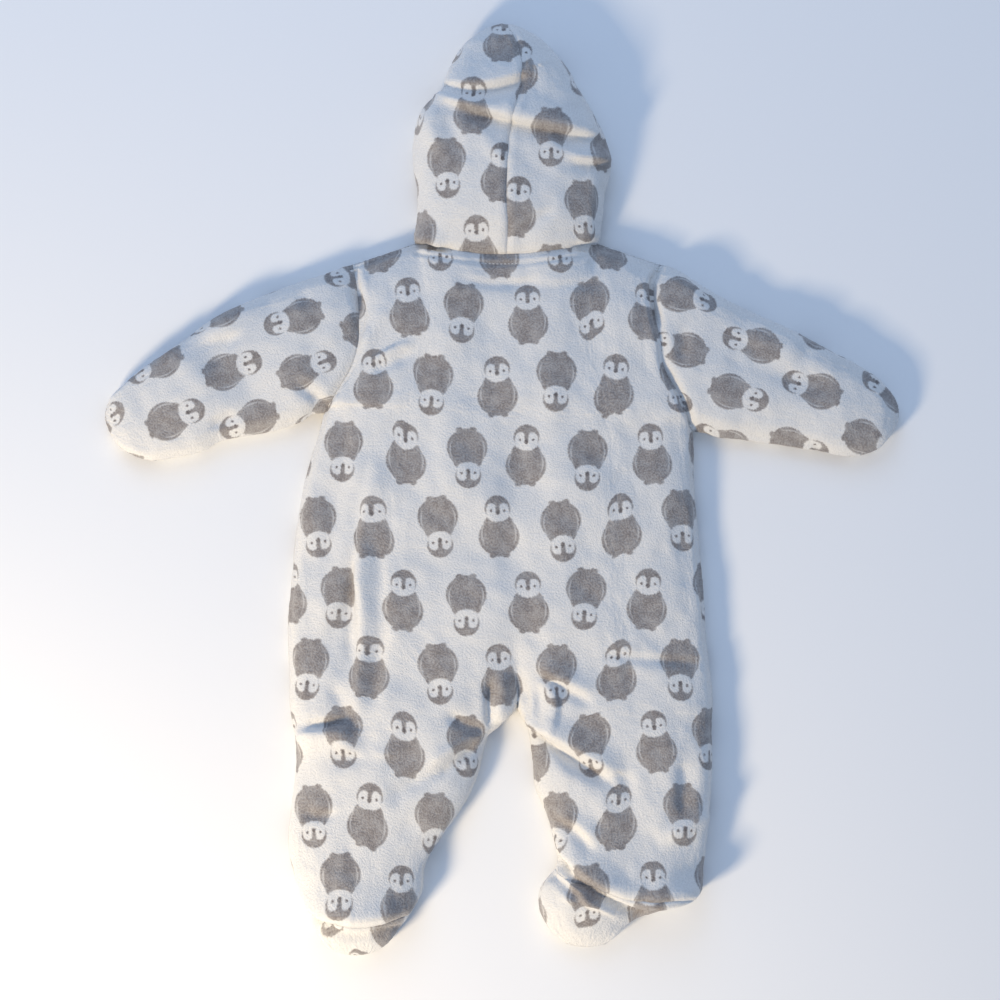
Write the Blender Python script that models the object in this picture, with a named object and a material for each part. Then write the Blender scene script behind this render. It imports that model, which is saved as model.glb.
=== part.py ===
"""A hooded, footed pramsuit in plush fleece, laid flat on its front.

Every sewn piece is a separate wall of cloth. The outside of the whole garment is one skin, lofted
through the sections below. Each piece takes its own faces of that skin and gets its thickness
towards the inside, so that neighbours keep one seam gap. The zip's hard pieces lie in the slot
between the two fronts. Sizes are in millimetres until a mesh is made. +X is the wearer's right,
+Y runs from the feet to the hood, and the garment lies on z = 0.
"""

import math

import bmesh
import bpy
import numpy as np

MM = 0.001  # metres in a millimetre
GARMENT = "fleece_pramsuit"

# Driving dimensions
WALL = 4.0  # plush pile and its knitted backing
SEAM_GAP = 0.3  # between two pieces at a seam
ZIP_X = 4.0  # centre line of the zip
SEAM_Z = 12.0  # height of the side seams over the surface
EDGE_RADIUS = 13.0  # how far the underside's edge turns up to a side seam
FOLD_FLOOR, FOLD_FADE = 18.0, 8.0  # folds begin at this height, and are whole that much higher
FULLNESS = 2.6  # exponent of the crowned sections: 2 is an ellipse, more is fuller
NECK_CORNER = 0.59  # where a shoulder seam meets the hood, from the centre line to the shoulder tip
BACK_NECK_DROP, FRONT_NECK_DROP = 12.0, 28.0  # how far the neck seam dips at the centre
SHOULDER_RISE = 18.0  # from the shoulder tip up to the neck corner
SLOT_HALF = 8.0  # from the zip's centre line to a front's edge
SLOT_LIFT = 2.0  # how far the fronts' edges turn up beside the zip
SLOT_ROWS = 15  # body sections that the slot runs through
HOOD_EDGE = 15.0  # how far the hood's edge turns under
MITT_LIFT = WALL + 0.8  # room for the mitt's flap under the end of a sleeve
MITT_INSET = WALL + 1.4  # and beside it
MITT_ROW, CUFF_ROW = 6, 8  # sleeve sections at the flap's free edge and at the cuff
ANKLE_ROW = 7  # leg section where a front meets its foot
HEEL_ROW = {"left": 9, "right": 8}  # leg sections where the back meets a sole

# Columns of points from the centre line (0) to the side seam (1), on the body and on a leg
BODY_COLUMNS = np.array([0, 0.15, 0.30, 0.45, 0.53, NECK_CORNER, 0.68, 0.80, 0.90, 0.96, 1])
LEG_COLUMNS = np.array([0, 0.04, 0.12, 0.24, 0.38, 0.52, 0.66, 0.79, 0.89, 0.96, 1])
NECK_COLUMN = 5  # the column at NECK_CORNER
ARMHOLE_ROW = 8  # the body section at the armpits


def table(columns, *rows):
    """A table with named columns, a row for each section."""
    names = columns.split()
    return {name: np.array([row[k] for row in rows], float) for k, name in enumerate(names)}


# Body sections from the shoulders to the crotch. top_z and under_z are the heights of the back's
# and the fronts' side edges, on the armhole first and then on the side seam. neck is how much of
# the neckline's bend a section keeps, rise how far it has risen from the shoulder seam, split how
# far it is parted into two legs, and middle_x its centre line.
BODY = table(
    "left_x left_y right_x right_y top_z under_z crown neck rise split middle_x",
    (-126, 187, 133, 187, 12, 12, 30, 1.00, 0.00, 0.00, 4),
    (-124, 179, 131, 179, 17, 3, 31, 0.85, 0.55, 0.00, 4),
    (-122, 167, 127, 168, 22, 0, 32, 0.65, 0.85, 0.00, 4),
    (-120, 147, 128, 148, 26, 0, 32, 0.42, 1.00, 0.00, 4),
    (-120, 121, 133, 120, 27, 0, 33, 0.22, 1.00, 0.00, 4),
    (-126, 98, 136, 98, 25, 0, 33, 0.10, 1.00, 0.00, 4),
    (-137, 80, 148, 76, 22, 0, 33, 0.03, 1.00, 0.00, 4),
    (-144, 69, 155, 59, 20, 1, 33, 0.00, 1.00, 0.00, 4),
    (-148, 62, 159, 47, 12, 12, 33, 0.00, 1.00, 0.00, 4),
    (-154, 39, 160, 30, 12, 12, 33, 0.00, 1.00, 0.00, 4),
    (-162, 12, 160, 8, 12, 12, 33, 0.00, 1.00, 0.00, 4),
    (-167, -12, 161, -15, 12, 12, 32, 0.00, 1.00, 0.00, 4),
    (-171, -39, 163, -39, 12, 12, 32, 0.00, 1.00, 0.00, 4),
    (-173, -63, 165, -63, 12, 12, 31, 0.00, 1.00, 0.00, 4),
    (-175, -86, 167, -86, 12, 12, 31, 0.00, 1.00, 0.00, 4),
    (-177, -108, 168, -108, 12, 12, 31, 0.00, 1.00, 0.00, 6),
    (-177, -128, 169, -128, 12, 12, 31, 0.00, 1.00, 0.10, 9),
    (-176, -146, 171, -146, 12, 12, 31, 0.00, 1.00, 0.30, 12),
    (-175, -164, 173, -164, 12, 12, 31, 0.00, 1.00, 0.60, 13),
    (-175, -183, 174, -183, 12, 12, 31, 0.00, 1.00, 1.00, 13),
)

# Leg sections below the crotch, to the end of the foot. sag bends a section's middle towards the
# toes, and even spreads its columns evenly, where the foot closes. under is the underside's height.
LEG_HEAD = "outer_x outer_y inner_x inner_y crown edge_z sag even under"
LEG = {
    "left": table(
        LEG_HEAD,
        (-173, -197, -1, -199, 31, 12, 0, 0, 0),
        (-170, -213, -13, -210, 32, 12, 0, 0, 0),
        (-169, -231, -18, -230, 33, 12, 0, 0, 0),
        (-171, -251, -25, -251, 33, 12, 0, 0, 0),
        (-173, -272, -37, -272, 33, 12, 0, 0, 0),
        (-175, -294, -53, -294, 33, 12, 0, 0, 0),
        (-172, -316, -65, -316, 34, 12, 0, 0, 0),
        (-165, -336, -67, -336, 36, 12, 4, 0, 0),
        (-155, -355, -76, -353, 37, 12, 11, 0, 0),
        (-153, -365, -84, -364, 31, 12, 9, 0, 0),
        (-145, -378, -94, -377, 24, 11, 5, 0.5, 0),
        (-135, -385, -107, -385, 10, 10, 3, 1, 10),
    ),
    "right": table(
        LEG_HEAD,
        (173, -197, 21, -199, 31, 12, 0, 0, 0),
        (173, -215, 25, -215, 32, 12, 0, 0, 0),
        (173, -233, 27, -233, 33, 12, 0, 0, 0),
        (172, -252, 29, -252, 33, 12, 0, 0, 0),
        (170, -273, 38, -273, 33, 12, 0, 0, 0),
        (168, -294, 44, -294, 34, 12, 0, 0, 0),
        (165, -315, 47, -308, 36, 12, 4, 0, 0),
        (160, -338, 45, -319, 38, 12, 10, 0, 0),
        (122, -353, 34, -333, 32, 12, 5, 0, 0),
        (106, -360, 32, -349, 28, 12, 5, 0, 0),
        (95, -371, 40, -366, 22, 11, 4, 0.5, 0),
        (84, -379, 55, -379, 10, 10, 2, 1, 10),
    ),
}

# Sleeve sections from the armhole to the tip, across the sleeve from its upper edge to the
# underarm. bow bends a section's middle towards the body.
SLEEVE_HEAD = "upper_x upper_y lower_x lower_y crown edge_z bow under"
SLEEVE = {
    "left": table(
        SLEEVE_HEAD,
        (-148, 179, -159, 62, 29, 12, 10, 0),
        (-169, 172, -172, 54, 29, 12, 5, 0),
        (-193, 163, -193, 47, 28, 12, 2, 0),
        (-216, 154, -214, 43, 28, 12, 0, 0),
        (-240, 142, -235, 39, 28, 13, 0, 0),
        (-262, 126, -255, 29, 28, 13, 0, 0),
        (-283, 111, -277, 24, 28, 13, 0, 0),
        (-302, 98, -295, 22, 27, 13, 0, 0),
        (-317, 85, -311, 27, 24, 13, 0, 0),
        (-326, 77, -322, 35, 19, 12, -1, 0),
        (-330, 71, -328, 44, 11, 11, -4, 11),
    ),
    "right": table(
        SLEEVE_HEAD,
        (150, 181, 169, 46, 29, 12, 10, 0),
        (169, 168, 182, 42, 29, 12, 5, 0),
        (190, 156, 201, 40, 28, 12, 2, 0),
        (212, 145, 222, 37, 28, 12, 0, 0),
        (234, 135, 243, 34, 28, 13, 0, 0),
        (256, 124, 263, 31, 28, 13, 0, 0),
        (278, 112, 284, 26, 28, 13, 0, 0),
        (297, 102, 301, 26, 27, 13, 0, 0),
        (314, 91, 316, 32, 24, 13, 0, 0),
        (324, 81, 325, 41, 19, 12, -1, 0),
        (330, 74, 329, 47, 11, 11, -4, 11),
    ),
}

# Hood sections from just above the neck seam to the top. seam_x is the centre seam, and reach is
# how far the face opening's hem comes in under the hood, 1 being shut.
HOOD = table(
    "left_x right_x y seam_x crown edge_z reach even under",
    (-72, 82, 215, 5, 40, 14, 0.66, 0, 0),
    (-70, 84, 231, 4, 44, 16, 0.48, 0, 0),
    (-70, 86, 250, 4, 46, 17, 0.40, 0, 0),
    (-73, 91, 268, 5, 47, 18, 0.38, 0, 0),
    (-74, 89, 288, 6, 47, 18, 0.38, 0, 0),
    (-71, 80, 307, 9, 47, 18, 0.40, 0, 0),
    (-64, 73, 323, 13, 46, 18, 0.46, 0, 0),
    (-48, 63, 339, 16, 44, 17, 0.60, 0, 0),
    (-43, 55, 354, 17, 41, 16, 0.85, 0, 0),
    (-35, 45, 367, 15, 36, 15, 1, 0.3, 0),
    (-24, 32, 379, 10, 29, 14, 1, 0.7, 2),
    (-14, 18, 389, 4, 14, 14, 1, 1, 14),
)

# The largest folds of the side that shows: height is negative for a trough, and spread is the
# distance at which a fold has faded to a third.
FOLDS = table(
    "from_x from_y to_x to_y height spread",
    (-113, -2, -113, -176, 4, 12),  # raised ridge down the left of the back
    (-134, -90, -134, -130, -4, 13),
    (-97, -76, -97, -172, -4, 13),
    (-138, 50, -136, -60, -4, 14),  # under the left armpit
    (10, 168, 84, 166, -3, 12),  # across the upper back
    (90, -144, 170, -148, -3, 12),
    (-8, -168, -8, -206, -6, 11),  # gathered crotch
    (24, -202, 88, -241, -9, 13),  # overhanging fold on the right thigh
    (-22, -217, -84, -256, -7, 13),  # behind the left knee
    (49, -283, 97, -328, -5, 12),  # over the right heel
    (-46, 338, 16, 345, -6, 11),  # folds across the hood
    (-44, 325, 66, 299, -7, 12),
    (60, 287, 88, 279, -4, 11),
)

# Zip, lying in the slot between the fronts
ZIP_TOP, ZIP_BOTTOM = 172.0, -92.0
TAPE_INNER, TAPE_OUTER, TAPE_THICK, TAPE_Z = 3.3, 14.0, 0.8, 7.1
CHAIN_WIDTH, CHAIN_THICK, CHAIN_Z = 6.0, 2.4, 7.1
CHAIN_DROP = 10.0  # from the tapes' top to the chain's end, in the slider
SLIDER_WIDTH, SLIDER_LENGTH, SLIDER_PLATE = 8.4, 12.0, 0.8
SLIDER_CLEAR = 0.35  # between the chain and each plate
SLIDER_MOUTH = 6.0  # how far the slider reaches past the chain's end
DIVIDER_WIDTH, DIVIDER_INSET = 2.4, 0.6  # the slider's post, and how far in from its ends it stands
BRIDGE_LENGTH, BRIDGE_WIDTH, BRIDGE_THICK, BRIDGE_CLEAR = 8.0, 1.8, 0.7, 1.8
BRIDGE_LEG = 1.4  # along the bridge
PULL_WIDTH, PULL_LENGTH, PULL_THICK, PULL_BAR = 6.0, 26.0, 1.1, 1.1
PULL_EYE = 6.0  # length of the pull's window, round the bridge
PULL_CLEAR = 0.4  # between the window and the bridge
HEEL_PLAY = 0.5  # between the pull's bar and the bridge's leg
PULL_DROOP = 6.5  # degrees from the zip down to the surface, where the pull's end rests
ROOT = 0.3  # how far one box of a metal part reaches into the next

# Finishes: sRGB colour, metallic, roughness
FINISHES = {
    "plush": ((0.90, 0.90, 0.89), 0.0, 0.95),
    "plush_hood": ((0.86, 0.88, 0.91), 0.0, 0.95),
    "plush_sole": ((0.84, 0.84, 0.83), 0.0, 0.95),
    "zip_tape": ((0.88, 0.88, 0.86), 0.0, 0.85),
    "zip_plastic": ((0.93, 0.93, 0.92), 0.0, 0.45),
    "zip_metal": ((0.75, 0.75, 0.76), 0.9, 0.35),
}


# ---------------------------------------------------------------- sections


def mix(a, b, t):
    return a + (b - a) * t


def crown(across, fullness=FULLNESS):
    """Height of a crowned section as a share of its crown: 1 in the middle, 0 at across = 1."""
    return (1 - np.clip(np.abs(across), 0, 1) ** fullness) ** (1 / fullness)


def turned_edge(distance, radius):
    """1 at an edge, falling on a quarter circle to 0 at the radius."""
    inside = 1 - np.clip(distance / radius, 0, 1)
    return 1 - np.sqrt(1 - inside**2)


def fold_height(x, y):
    """Sum of the folds at a place, each a soft trough or ridge that fades out at its ends."""
    total = 0.0
    for from_x, from_y, to_x, to_y, height, spread in zip(*FOLDS.values()):
        along_x, along_y = to_x - from_x, to_y - from_y
        length = math.hypot(along_x, along_y)
        along = ((x - from_x) * along_x + (y - from_y) * along_y) / length**2
        across = ((x - from_x) * along_y - (y - from_y) * along_x) / length
        past = max(0.0, -along, along - 1) * length
        total += height * math.exp(-((across / spread) ** 2) - (past / spread) ** 2)
    return total


def folded(point):
    """The point with the folds applied, fading out towards the garment's edges."""
    x, y, z = point
    share = min(max((z - FOLD_FLOOR) / FOLD_FADE, 0.0), 1.0)
    return (x, y, z + share * fold_height(x, y))


def neckline(columns, row, drop):
    """How much a body section is raised at each column, from the shoulder tip's level."""
    on_shoulder = (1 - columns) / (1 - NECK_CORNER)
    on_neck = 1 - (drop / SHOULDER_RISE) * (1 - (columns / NECK_CORNER) ** 2)
    return SHOULDER_RISE * np.where(columns > NECK_CORNER, on_shoulder, on_neck) * BODY["neck"][row]


def body_section(side, face, row):
    """Points of one body section from the centre line to the side, on one half and one face."""
    split = BODY["split"][row]
    columns = mix(BODY_COLUMNS, LEG_COLUMNS, split)
    centre_x = BODY["middle_x"][row]
    side_x, side_y = BODY[side + "_x"][row], BODY[side + "_y"][row]
    centre_y = (BODY["left_y"][row] + BODY["right_y"][row]) / 2
    drop = BACK_NECK_DROP if face == "top" else FRONT_NECK_DROP
    x = mix(centre_x, side_x, columns)
    if face == "under" and row < SLOT_ROWS:
        x[0] += SLOT_HALF if side == "right" else -SLOT_HALF
    y = mix(centre_y, side_y, columns) + neckline(columns, row, drop)
    half_width = abs(side_x - centre_x)
    if face == "top":
        top = BODY["crown"][row]
        edge = BODY["top_z"][row]
        on_body = edge + (top - edge) * crown(columns)
        on_leg = edge + (top - edge) * crown(2 * columns - 1)
        on_shoulder = SEAM_Z + (top - SEAM_Z) * crown(columns / NECK_CORNER)
        z = mix(on_shoulder, mix(on_body, on_leg, split), BODY["rise"][row])
    else:
        edge = BODY["under_z"][row]
        z = edge * turned_edge((1 - columns) * half_width, EDGE_RADIUS)
        z += split * SEAM_Z * turned_edge(columns * half_width, EDGE_RADIUS)
        if row == 0:
            past_corner = (NECK_CORNER - columns) * half_width
            z = SEAM_Z * turned_edge(past_corner, EDGE_RADIUS)
        if row < SLOT_ROWS:
            z[0] = SLOT_LIFT
    return list(zip(x, y, z))


def reach_across(sections, row, end):
    """A leg section's width, measured square to the leg's outline at one of its ends."""
    across_x = sections["outer_x"][row] - sections["inner_x"][row]
    across_y = sections["outer_y"][row] - sections["inner_y"][row]
    before, after = max(row - 1, 0), min(row + 1, len(sections["crown"]) - 1)
    outline_x = sections[end + "_x"][after] - sections[end + "_x"][before]
    outline_y = sections[end + "_y"][after] - sections[end + "_y"][before]
    crossed = across_x * outline_y - across_y * outline_x
    return abs(crossed) / math.hypot(outline_x, outline_y)


def leg_section(side, face, row):
    """Points of one leg section from the inner seam to the outer seam, on one face."""
    sections = LEG[side]
    section = {name: values[row] for name, values in sections.items()}
    even = np.linspace(0, 1, len(LEG_COLUMNS))
    columns = mix(LEG_COLUMNS, even, section["even"])
    x = mix(section["inner_x"], section["outer_x"], columns)
    y = mix(section["inner_y"], section["outer_y"], columns)
    y -= section["sag"] * (1 - (2 * columns - 1) ** 2)
    edge = section["edge_z"]
    if face == "top":
        z = edge + (section["crown"] - edge) * crown(2 * columns - 1)
    else:
        from_inner = columns * reach_across(sections, row, "inner")
        from_outer = (1 - columns) * reach_across(sections, row, "outer")
        turned = turned_edge(np.minimum(from_inner, from_outer), EDGE_RADIUS)
        z = section["under"] + (edge - section["under"]) * turned
    return list(zip(x, y, z))


def body_and_leg(side, face):
    """All sections of one half and one face, from the shoulder to the toes."""
    body = [body_section(side, face, row) for row in range(len(BODY["crown"]))]
    leg = [leg_section(side, face, row) for row in range(len(LEG[side]["crown"]))]
    return body + leg


def sleeve_section(side, face, row, columns, inset, lift):
    """Points of one sleeve section from its upper edge to the underarm, on one face."""
    section = {name: values[row] for name, values in SLEEVE[side].items()}
    upper = np.array([section["upper_x"], section["upper_y"]])
    lower = np.array([section["lower_x"], section["lower_y"]])
    width = np.linalg.norm(lower - upper) - 2 * inset
    down = (lower - upper) / np.linalg.norm(lower - upper)
    upper = upper + down * inset
    x = upper[0] + down[0] * width * columns
    y = upper[1] + down[1] * width * columns
    toward_body = 1 if side == "left" else -1
    x += toward_body * section["bow"] * (1 - (2 * columns - 1) ** 2)
    edge = section["edge_z"]
    if face == "top":
        z = edge + (section["crown"] - edge) * crown(2 * columns - 1)
    else:
        nearest = np.minimum(columns, 1 - columns) * width
        low = max(section["under"], lift)
        z = low + (edge - low) * turned_edge(nearest, EDGE_RADIUS - inset)
    return list(zip(x, y, z))


def sleeve_columns(armhole):
    """Each armhole point's share of the way from the shoulder tip to the armpit."""
    steps = np.linalg.norm(np.diff(np.array(armhole)[:, :2], axis=0), axis=1)
    return np.concatenate([[0], np.cumsum(steps)]) / steps.sum()


def hood_section(side, face, row, first):
    """Points of one hood section: over the top from the centre seam to the edge, or on under it
    from the edge to the hem of the face opening. first is the section's share at each column."""
    section = {name: values[row] for name, values in HOOD.items()}
    even = np.linspace(0, 1, len(first))
    columns = mix(first, even, section["even"])
    edge_x = section[side + "_x"]
    half_width = abs(edge_x - section["seam_x"])
    edge = section["edge_z"]
    if face == "top":
        x = mix(section["seam_x"], edge_x, columns)
        z = edge + (section["crown"] - edge) * crown(columns)
    else:
        reach = columns * section["reach"]
        x = mix(edge_x, section["seam_x"], reach)
        low = section["under"]
        z = low + (edge - low) * turned_edge(reach * half_width, HOOD_EDGE)
    return list(zip(x, np.full(len(columns), section["y"]), z))


# ---------------------------------------------------------------- the skin and its pieces


class Skin:
    """The garment's outside: points that neighbouring pieces share, and each piece's faces."""

    def __init__(self):
        self.points = []
        self.index = {}
        self.faces = {}

    def point(self, place):
        key = tuple(round(value, 2) for value in place)
        if key not in self.index:
            self.index[key] = len(self.points)
            self.points.append(np.array(place, float))
        return self.index[key]

    def add(self, piece, sections, face):
        """Adds the patch through these sections to a piece, facing up or down."""
        grid = [[self.point(place) for place in section] for section in sections]
        quads = []
        for one, next_one in zip(grid, grid[1:]):
            for a, b, c, d in zip(one, next_one, next_one[1:], one[1:]):
                quads.append((a, b, c, d))
        facing = sum(self.normal(quad)[2] for quad in quads)
        if (facing > 0) != (face == "top"):
            quads = [quad[::-1] for quad in quads]
        self.faces.setdefault(piece, []).extend(quads)

    def normal(self, quad):
        a, b, c, d = (self.points[k] for k in quad)
        return np.cross(c - a, d - b)

    def halves(self, quad):
        """The two triangles of a quad, split along the diagonal that lies further out."""
        a, b, c, d = quad
        middles = self.points[a] + self.points[c] - self.points[b] - self.points[d]
        if middles @ self.normal(quad) > 0:
            return (a, b, c), (c, d, a)
        return (b, c, d), (d, a, b)

    def normals(self):
        """Outward unit normal at each point, from the faces of all the pieces that meet there."""
        total = np.zeros((len(self.points), 3))
        for quads in self.faces.values():
            for quad in quads:
                normal = self.normal(quad)
                for k in quad:
                    total[k] += normal / np.linalg.norm(normal)
        return total / np.linalg.norm(total, axis=1)[:, None]


def rim_edges(quads):
    """The directed edges that only one of these faces has."""
    edges = {(a, b) for quad in quads for a, b in zip(quad, quad[1:] + quad[:1])}
    return [(a, b) for a, b in edges if (b, a) not in edges]


def drawn_in(skin, rim, normals):
    """How far each point of a rim moves into its piece, so that the seam keeps its gap."""
    along = {}
    for a, b in rim:
        step = skin.points[b] - skin.points[a]
        for k in (a, b):
            along[k] = along.get(k, 0) + step / np.linalg.norm(step)
    moves = {}
    for k, direction in along.items():
        into = np.cross(normals[k], direction)
        moves[k] = into * (SEAM_GAP / 2 / np.linalg.norm(into))
    return moves


def cloth(skin, piece, normals):
    """Mesh of one piece: its faces of the skin, the same faces a wall's thickness inside, and the
    rim between them."""
    quads = skin.faces[piece]
    rim = rim_edges(quads)
    moves = drawn_in(skin, rim, normals)
    build = bmesh.new()
    outer, inner = {}, {}
    for k in sorted({k for quad in quads for k in quad}):
        place = skin.points[k] + moves.get(k, 0)
        outer[k] = build.verts.new(place * MM)
        inner[k] = build.verts.new((place - normals[k] * WALL) * MM)
    for quad in quads:
        for corners in skin.halves(quad):
            build.faces.new([outer[k] for k in corners])
            build.faces.new([inner[k] for k in reversed(corners)])
    for a, b in rim:
        # The split runs from outer[low] to inner[high] on both sides of a seam, so that twisted
        # rims stay apart.
        around = [outer[b], outer[a], inner[a], inner[b]]
        for spare in (outer[max(a, b)], inner[min(a, b)]):
            build.faces.new([vertex for vertex in around if vertex is not spare])
    return build


# ---------------------------------------------------------------- objects


def finish(name):
    """The Principled material of a finish."""
    material = bpy.data.materials.get(name) or bpy.data.materials.new(name)
    material.use_nodes = True
    colour, metallic, roughness = FINISHES[name]
    shader = material.node_tree.nodes["Principled BSDF"]
    linear = [c / 12.92 if c <= 0.04045 else ((c + 0.055) / 1.055) ** 2.4 for c in colour]
    shader.inputs["Base Color"].default_value = (*linear, 1)
    shader.inputs["Metallic"].default_value = metallic
    shader.inputs["Roughness"].default_value = roughness
    return material


def make_object(build, name, finish_name, collection):
    mesh = bpy.data.meshes.new(name)
    build.to_mesh(mesh)
    build.free()
    mesh.shade_smooth()
    mesh.materials.append(finish(finish_name))
    made = bpy.data.objects.new(name, mesh)
    collection.objects.link(made)
    return made


def add_box(build, low, high):
    """Adds a box between two corners in millimetres."""
    made = bmesh.ops.create_cube(build, size=1.0)["verts"]
    low, high = np.array(low, float), np.array(high, float)
    for vertex in made:
        vertex.co = ((low + high) / 2 + np.array(vertex.co) * (high - low)) * MM


def box_object(name, finish_name, collection, low, high):
    build = bmesh.new()
    add_box(build, low, high)
    made = make_object(build, name, finish_name, collection)
    made.data.shade_flat()
    return made


def joined_boxes(name, finish_name, collection, boxes):
    """One body from overlapping boxes, by Boolean unions."""
    first, *others = boxes
    made = box_object(name, finish_name, collection, *first)
    for k, (low, high) in enumerate(others):
        other = box_object(f"{name}_{k}", finish_name, collection, low, high)
        union = made.modifiers.new("union", "BOOLEAN")
        union.operation = "UNION"
        union.object = other
        graph = bpy.context.evaluated_depsgraph_get()
        joined = bpy.data.meshes.new_from_object(made.evaluated_get(graph))
        made.modifiers.clear()
        made.data = joined
        bpy.data.objects.remove(other)
    return made


def cloth_pieces(collection):
    """Builds the skin from all the sections and makes each sewn piece."""
    skin = Skin()
    level_edges = []
    for side in ("left", "right"):
        top = body_and_leg(side, "top")
        top = [[folded(point) for point in section] for section in top]
        under = body_and_leg(side, "under")
        body_rows = len(BODY["crown"])
        heel = body_rows + HEEL_ROW[side]
        ankle = body_rows + ANKLE_ROW
        skin.add("back", top[:heel], "top")
        skin.add("sole_" + side, top[heel - 1 :], "top")
        skin.add("front_" + side, under[:ankle], "under")
        skin.add("foot_" + side, under[ankle - 1 :], "under")

        top_ring = [section[-1] for section in top[: ARMHOLE_ROW + 1]]
        under_ring = [section[-1] for section in under[: ARMHOLE_ROW + 1]]
        columns = sleeve_columns(top_ring)
        sleeve_top, sleeve_under, mitt = [top_ring], [under_ring], []
        for row in range(len(SLEEVE[side]["crown"])):
            number = row + 1
            in_mitt = MITT_ROW <= number <= CUFF_ROW
            inset = MITT_INSET if in_mitt else 0
            lift = MITT_LIFT if in_mitt else 0
            section = sleeve_section(side, "top", row, columns, inset, 0)
            sleeve_top.append([folded(point) for point in section])
            if number <= CUFF_ROW:
                sleeve_under.append(sleeve_section(side, "under", row, columns, inset, lift))
            if number >= MITT_ROW:
                mitt.append(sleeve_section(side, "under", row, columns, 0, 0))
        skin.add("sleeve_" + side, sleeve_top, "top")
        skin.add("sleeve_" + side, sleeve_under, "under")
        skin.add("mitt_" + side, mitt, "under")
        level_edges += [section[k] for section in mitt for k in (0, -1)]

        over = BODY_COLUMNS[: NECK_COLUMN + 1] / NECK_CORNER
        hood_top = [top[0][: NECK_COLUMN + 1]]
        hood_under = [under[0][NECK_COLUMN::-1]]
        for row in range(len(HOOD["y"])):
            section = hood_section(side, "top", row, over)
            hood_top.append([folded(point) for point in section])
            hood_under.append(hood_section(side, "under", row, 1 - over[::-1]))
        skin.add("hood_" + side, hood_top, "top")
        skin.add("hood_" + side, hood_under, "under")

    normals = skin.normals()
    for place in level_edges:
        normal = normals[skin.point(place)] * (1, 1, 0)
        normals[skin.point(place)] = normal / np.linalg.norm(normal)
    normals[skin.point(body_section("left", "under", len(BODY["crown"]) - 1)[0])] = (0, -1, 0)
    for piece in skin.faces:
        finish_name = "plush"
        if piece.startswith("hood"):
            finish_name = "plush_hood"
        if piece.startswith(("sole", "foot")):
            finish_name = "plush_sole"
        build = cloth(skin, piece, normals)
        make_object(build, piece, finish_name, collection)


def zip_pieces(collection):
    """The closed zip: two tapes, the chain, the slider at its top and the pull tab on the slider."""
    x = ZIP_X
    for side, sign in (("left", -1), ("right", 1)):
        near, far = sorted((x + sign * TAPE_INNER, x + sign * TAPE_OUTER))
        low = (near, ZIP_BOTTOM, TAPE_Z - TAPE_THICK / 2)
        high = (far, ZIP_TOP, TAPE_Z + TAPE_THICK / 2)
        box_object("zip_tape_" + side, "zip_tape", collection, low, high)

    chain_top = ZIP_TOP - CHAIN_DROP
    half_chain = CHAIN_THICK / 2
    low = (x - CHAIN_WIDTH / 2, ZIP_BOTTOM, CHAIN_Z - half_chain)
    high = (x + CHAIN_WIDTH / 2, chain_top, CHAIN_Z + half_chain)
    box_object("zip_chain", "zip_plastic", collection, low, high)

    slider_top = chain_top + SLIDER_MOUTH
    slider_low = slider_top - SLIDER_LENGTH
    plate_z = CHAIN_Z - half_chain - SLIDER_CLEAR
    back_z = CHAIN_Z + half_chain + SLIDER_CLEAR
    half, post = SLIDER_WIDTH / 2, DIVIDER_WIDTH / 2
    bridge_half = BRIDGE_WIDTH / 2
    bridge_low = slider_low + (SLIDER_LENGTH - BRIDGE_LENGTH) / 2
    bridge_high = bridge_low + BRIDGE_LENGTH
    face_z = plate_z - SLIDER_PLATE
    arch_z = face_z - BRIDGE_CLEAR
    slider = [
        ((x - half, slider_low, face_z), (x + half, slider_top, plate_z)),
        ((x - half, slider_low, back_z), (x + half, slider_top, back_z + SLIDER_PLATE)),
        (
            (x - post, chain_top + DIVIDER_INSET, plate_z - ROOT),
            (x + post, slider_top - DIVIDER_INSET, back_z + ROOT),
        ),
        (
            (x - bridge_half, bridge_low, arch_z - BRIDGE_THICK),
            (x + bridge_half, bridge_high, arch_z),
        ),
        (
            (x - bridge_half, bridge_low, arch_z - ROOT),
            (x + bridge_half, bridge_low + BRIDGE_LEG, face_z + ROOT),
        ),
        (
            (x - bridge_half, bridge_high - BRIDGE_LEG, arch_z - ROOT),
            (x + bridge_half, bridge_high, face_z + ROOT),
        ),
    ]
    joined_boxes("zip_slider", "zip_metal", collection, slider)

    pivot_y = bridge_low + BRIDGE_LEG + HEEL_PLAY + PULL_BAR / 2
    pivot_z = arch_z + BRIDGE_CLEAR / 2
    half_bar, half_thick, half_wide = PULL_BAR / 2, PULL_THICK / 2, PULL_WIDTH / 2
    window = bridge_half + PULL_CLEAR
    eye_low = pivot_y - PULL_EYE
    pull = [
        (
            (x - half_wide, pivot_y - half_bar, pivot_z - half_bar),
            (x + half_wide, pivot_y + half_bar, pivot_z + half_bar),
        ),
        (
            (x - half_wide, eye_low, pivot_z - half_thick),
            (x - window, pivot_y, pivot_z + half_thick),
        ),
        (
            (x + window, eye_low, pivot_z - half_thick),
            (x + half_wide, pivot_y, pivot_z + half_thick),
        ),
        (
            (x - half_wide, pivot_y - PULL_LENGTH, pivot_z - half_thick),
            (x + half_wide, eye_low + ROOT, pivot_z + half_thick),
        ),
    ]
    made = joined_boxes("zip_pull", "zip_metal", collection, pull)
    hinge = bpy.data.objects.new("pull_hinge", None)
    hinge.location = (x * MM, pivot_y * MM, pivot_z * MM)
    hinge.rotation_euler.x = math.radians(PULL_DROOP)
    collection.objects.link(hinge)
    for vertex in made.data.vertices:
        vertex.co -= hinge.location
    made.parent = hinge


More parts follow.
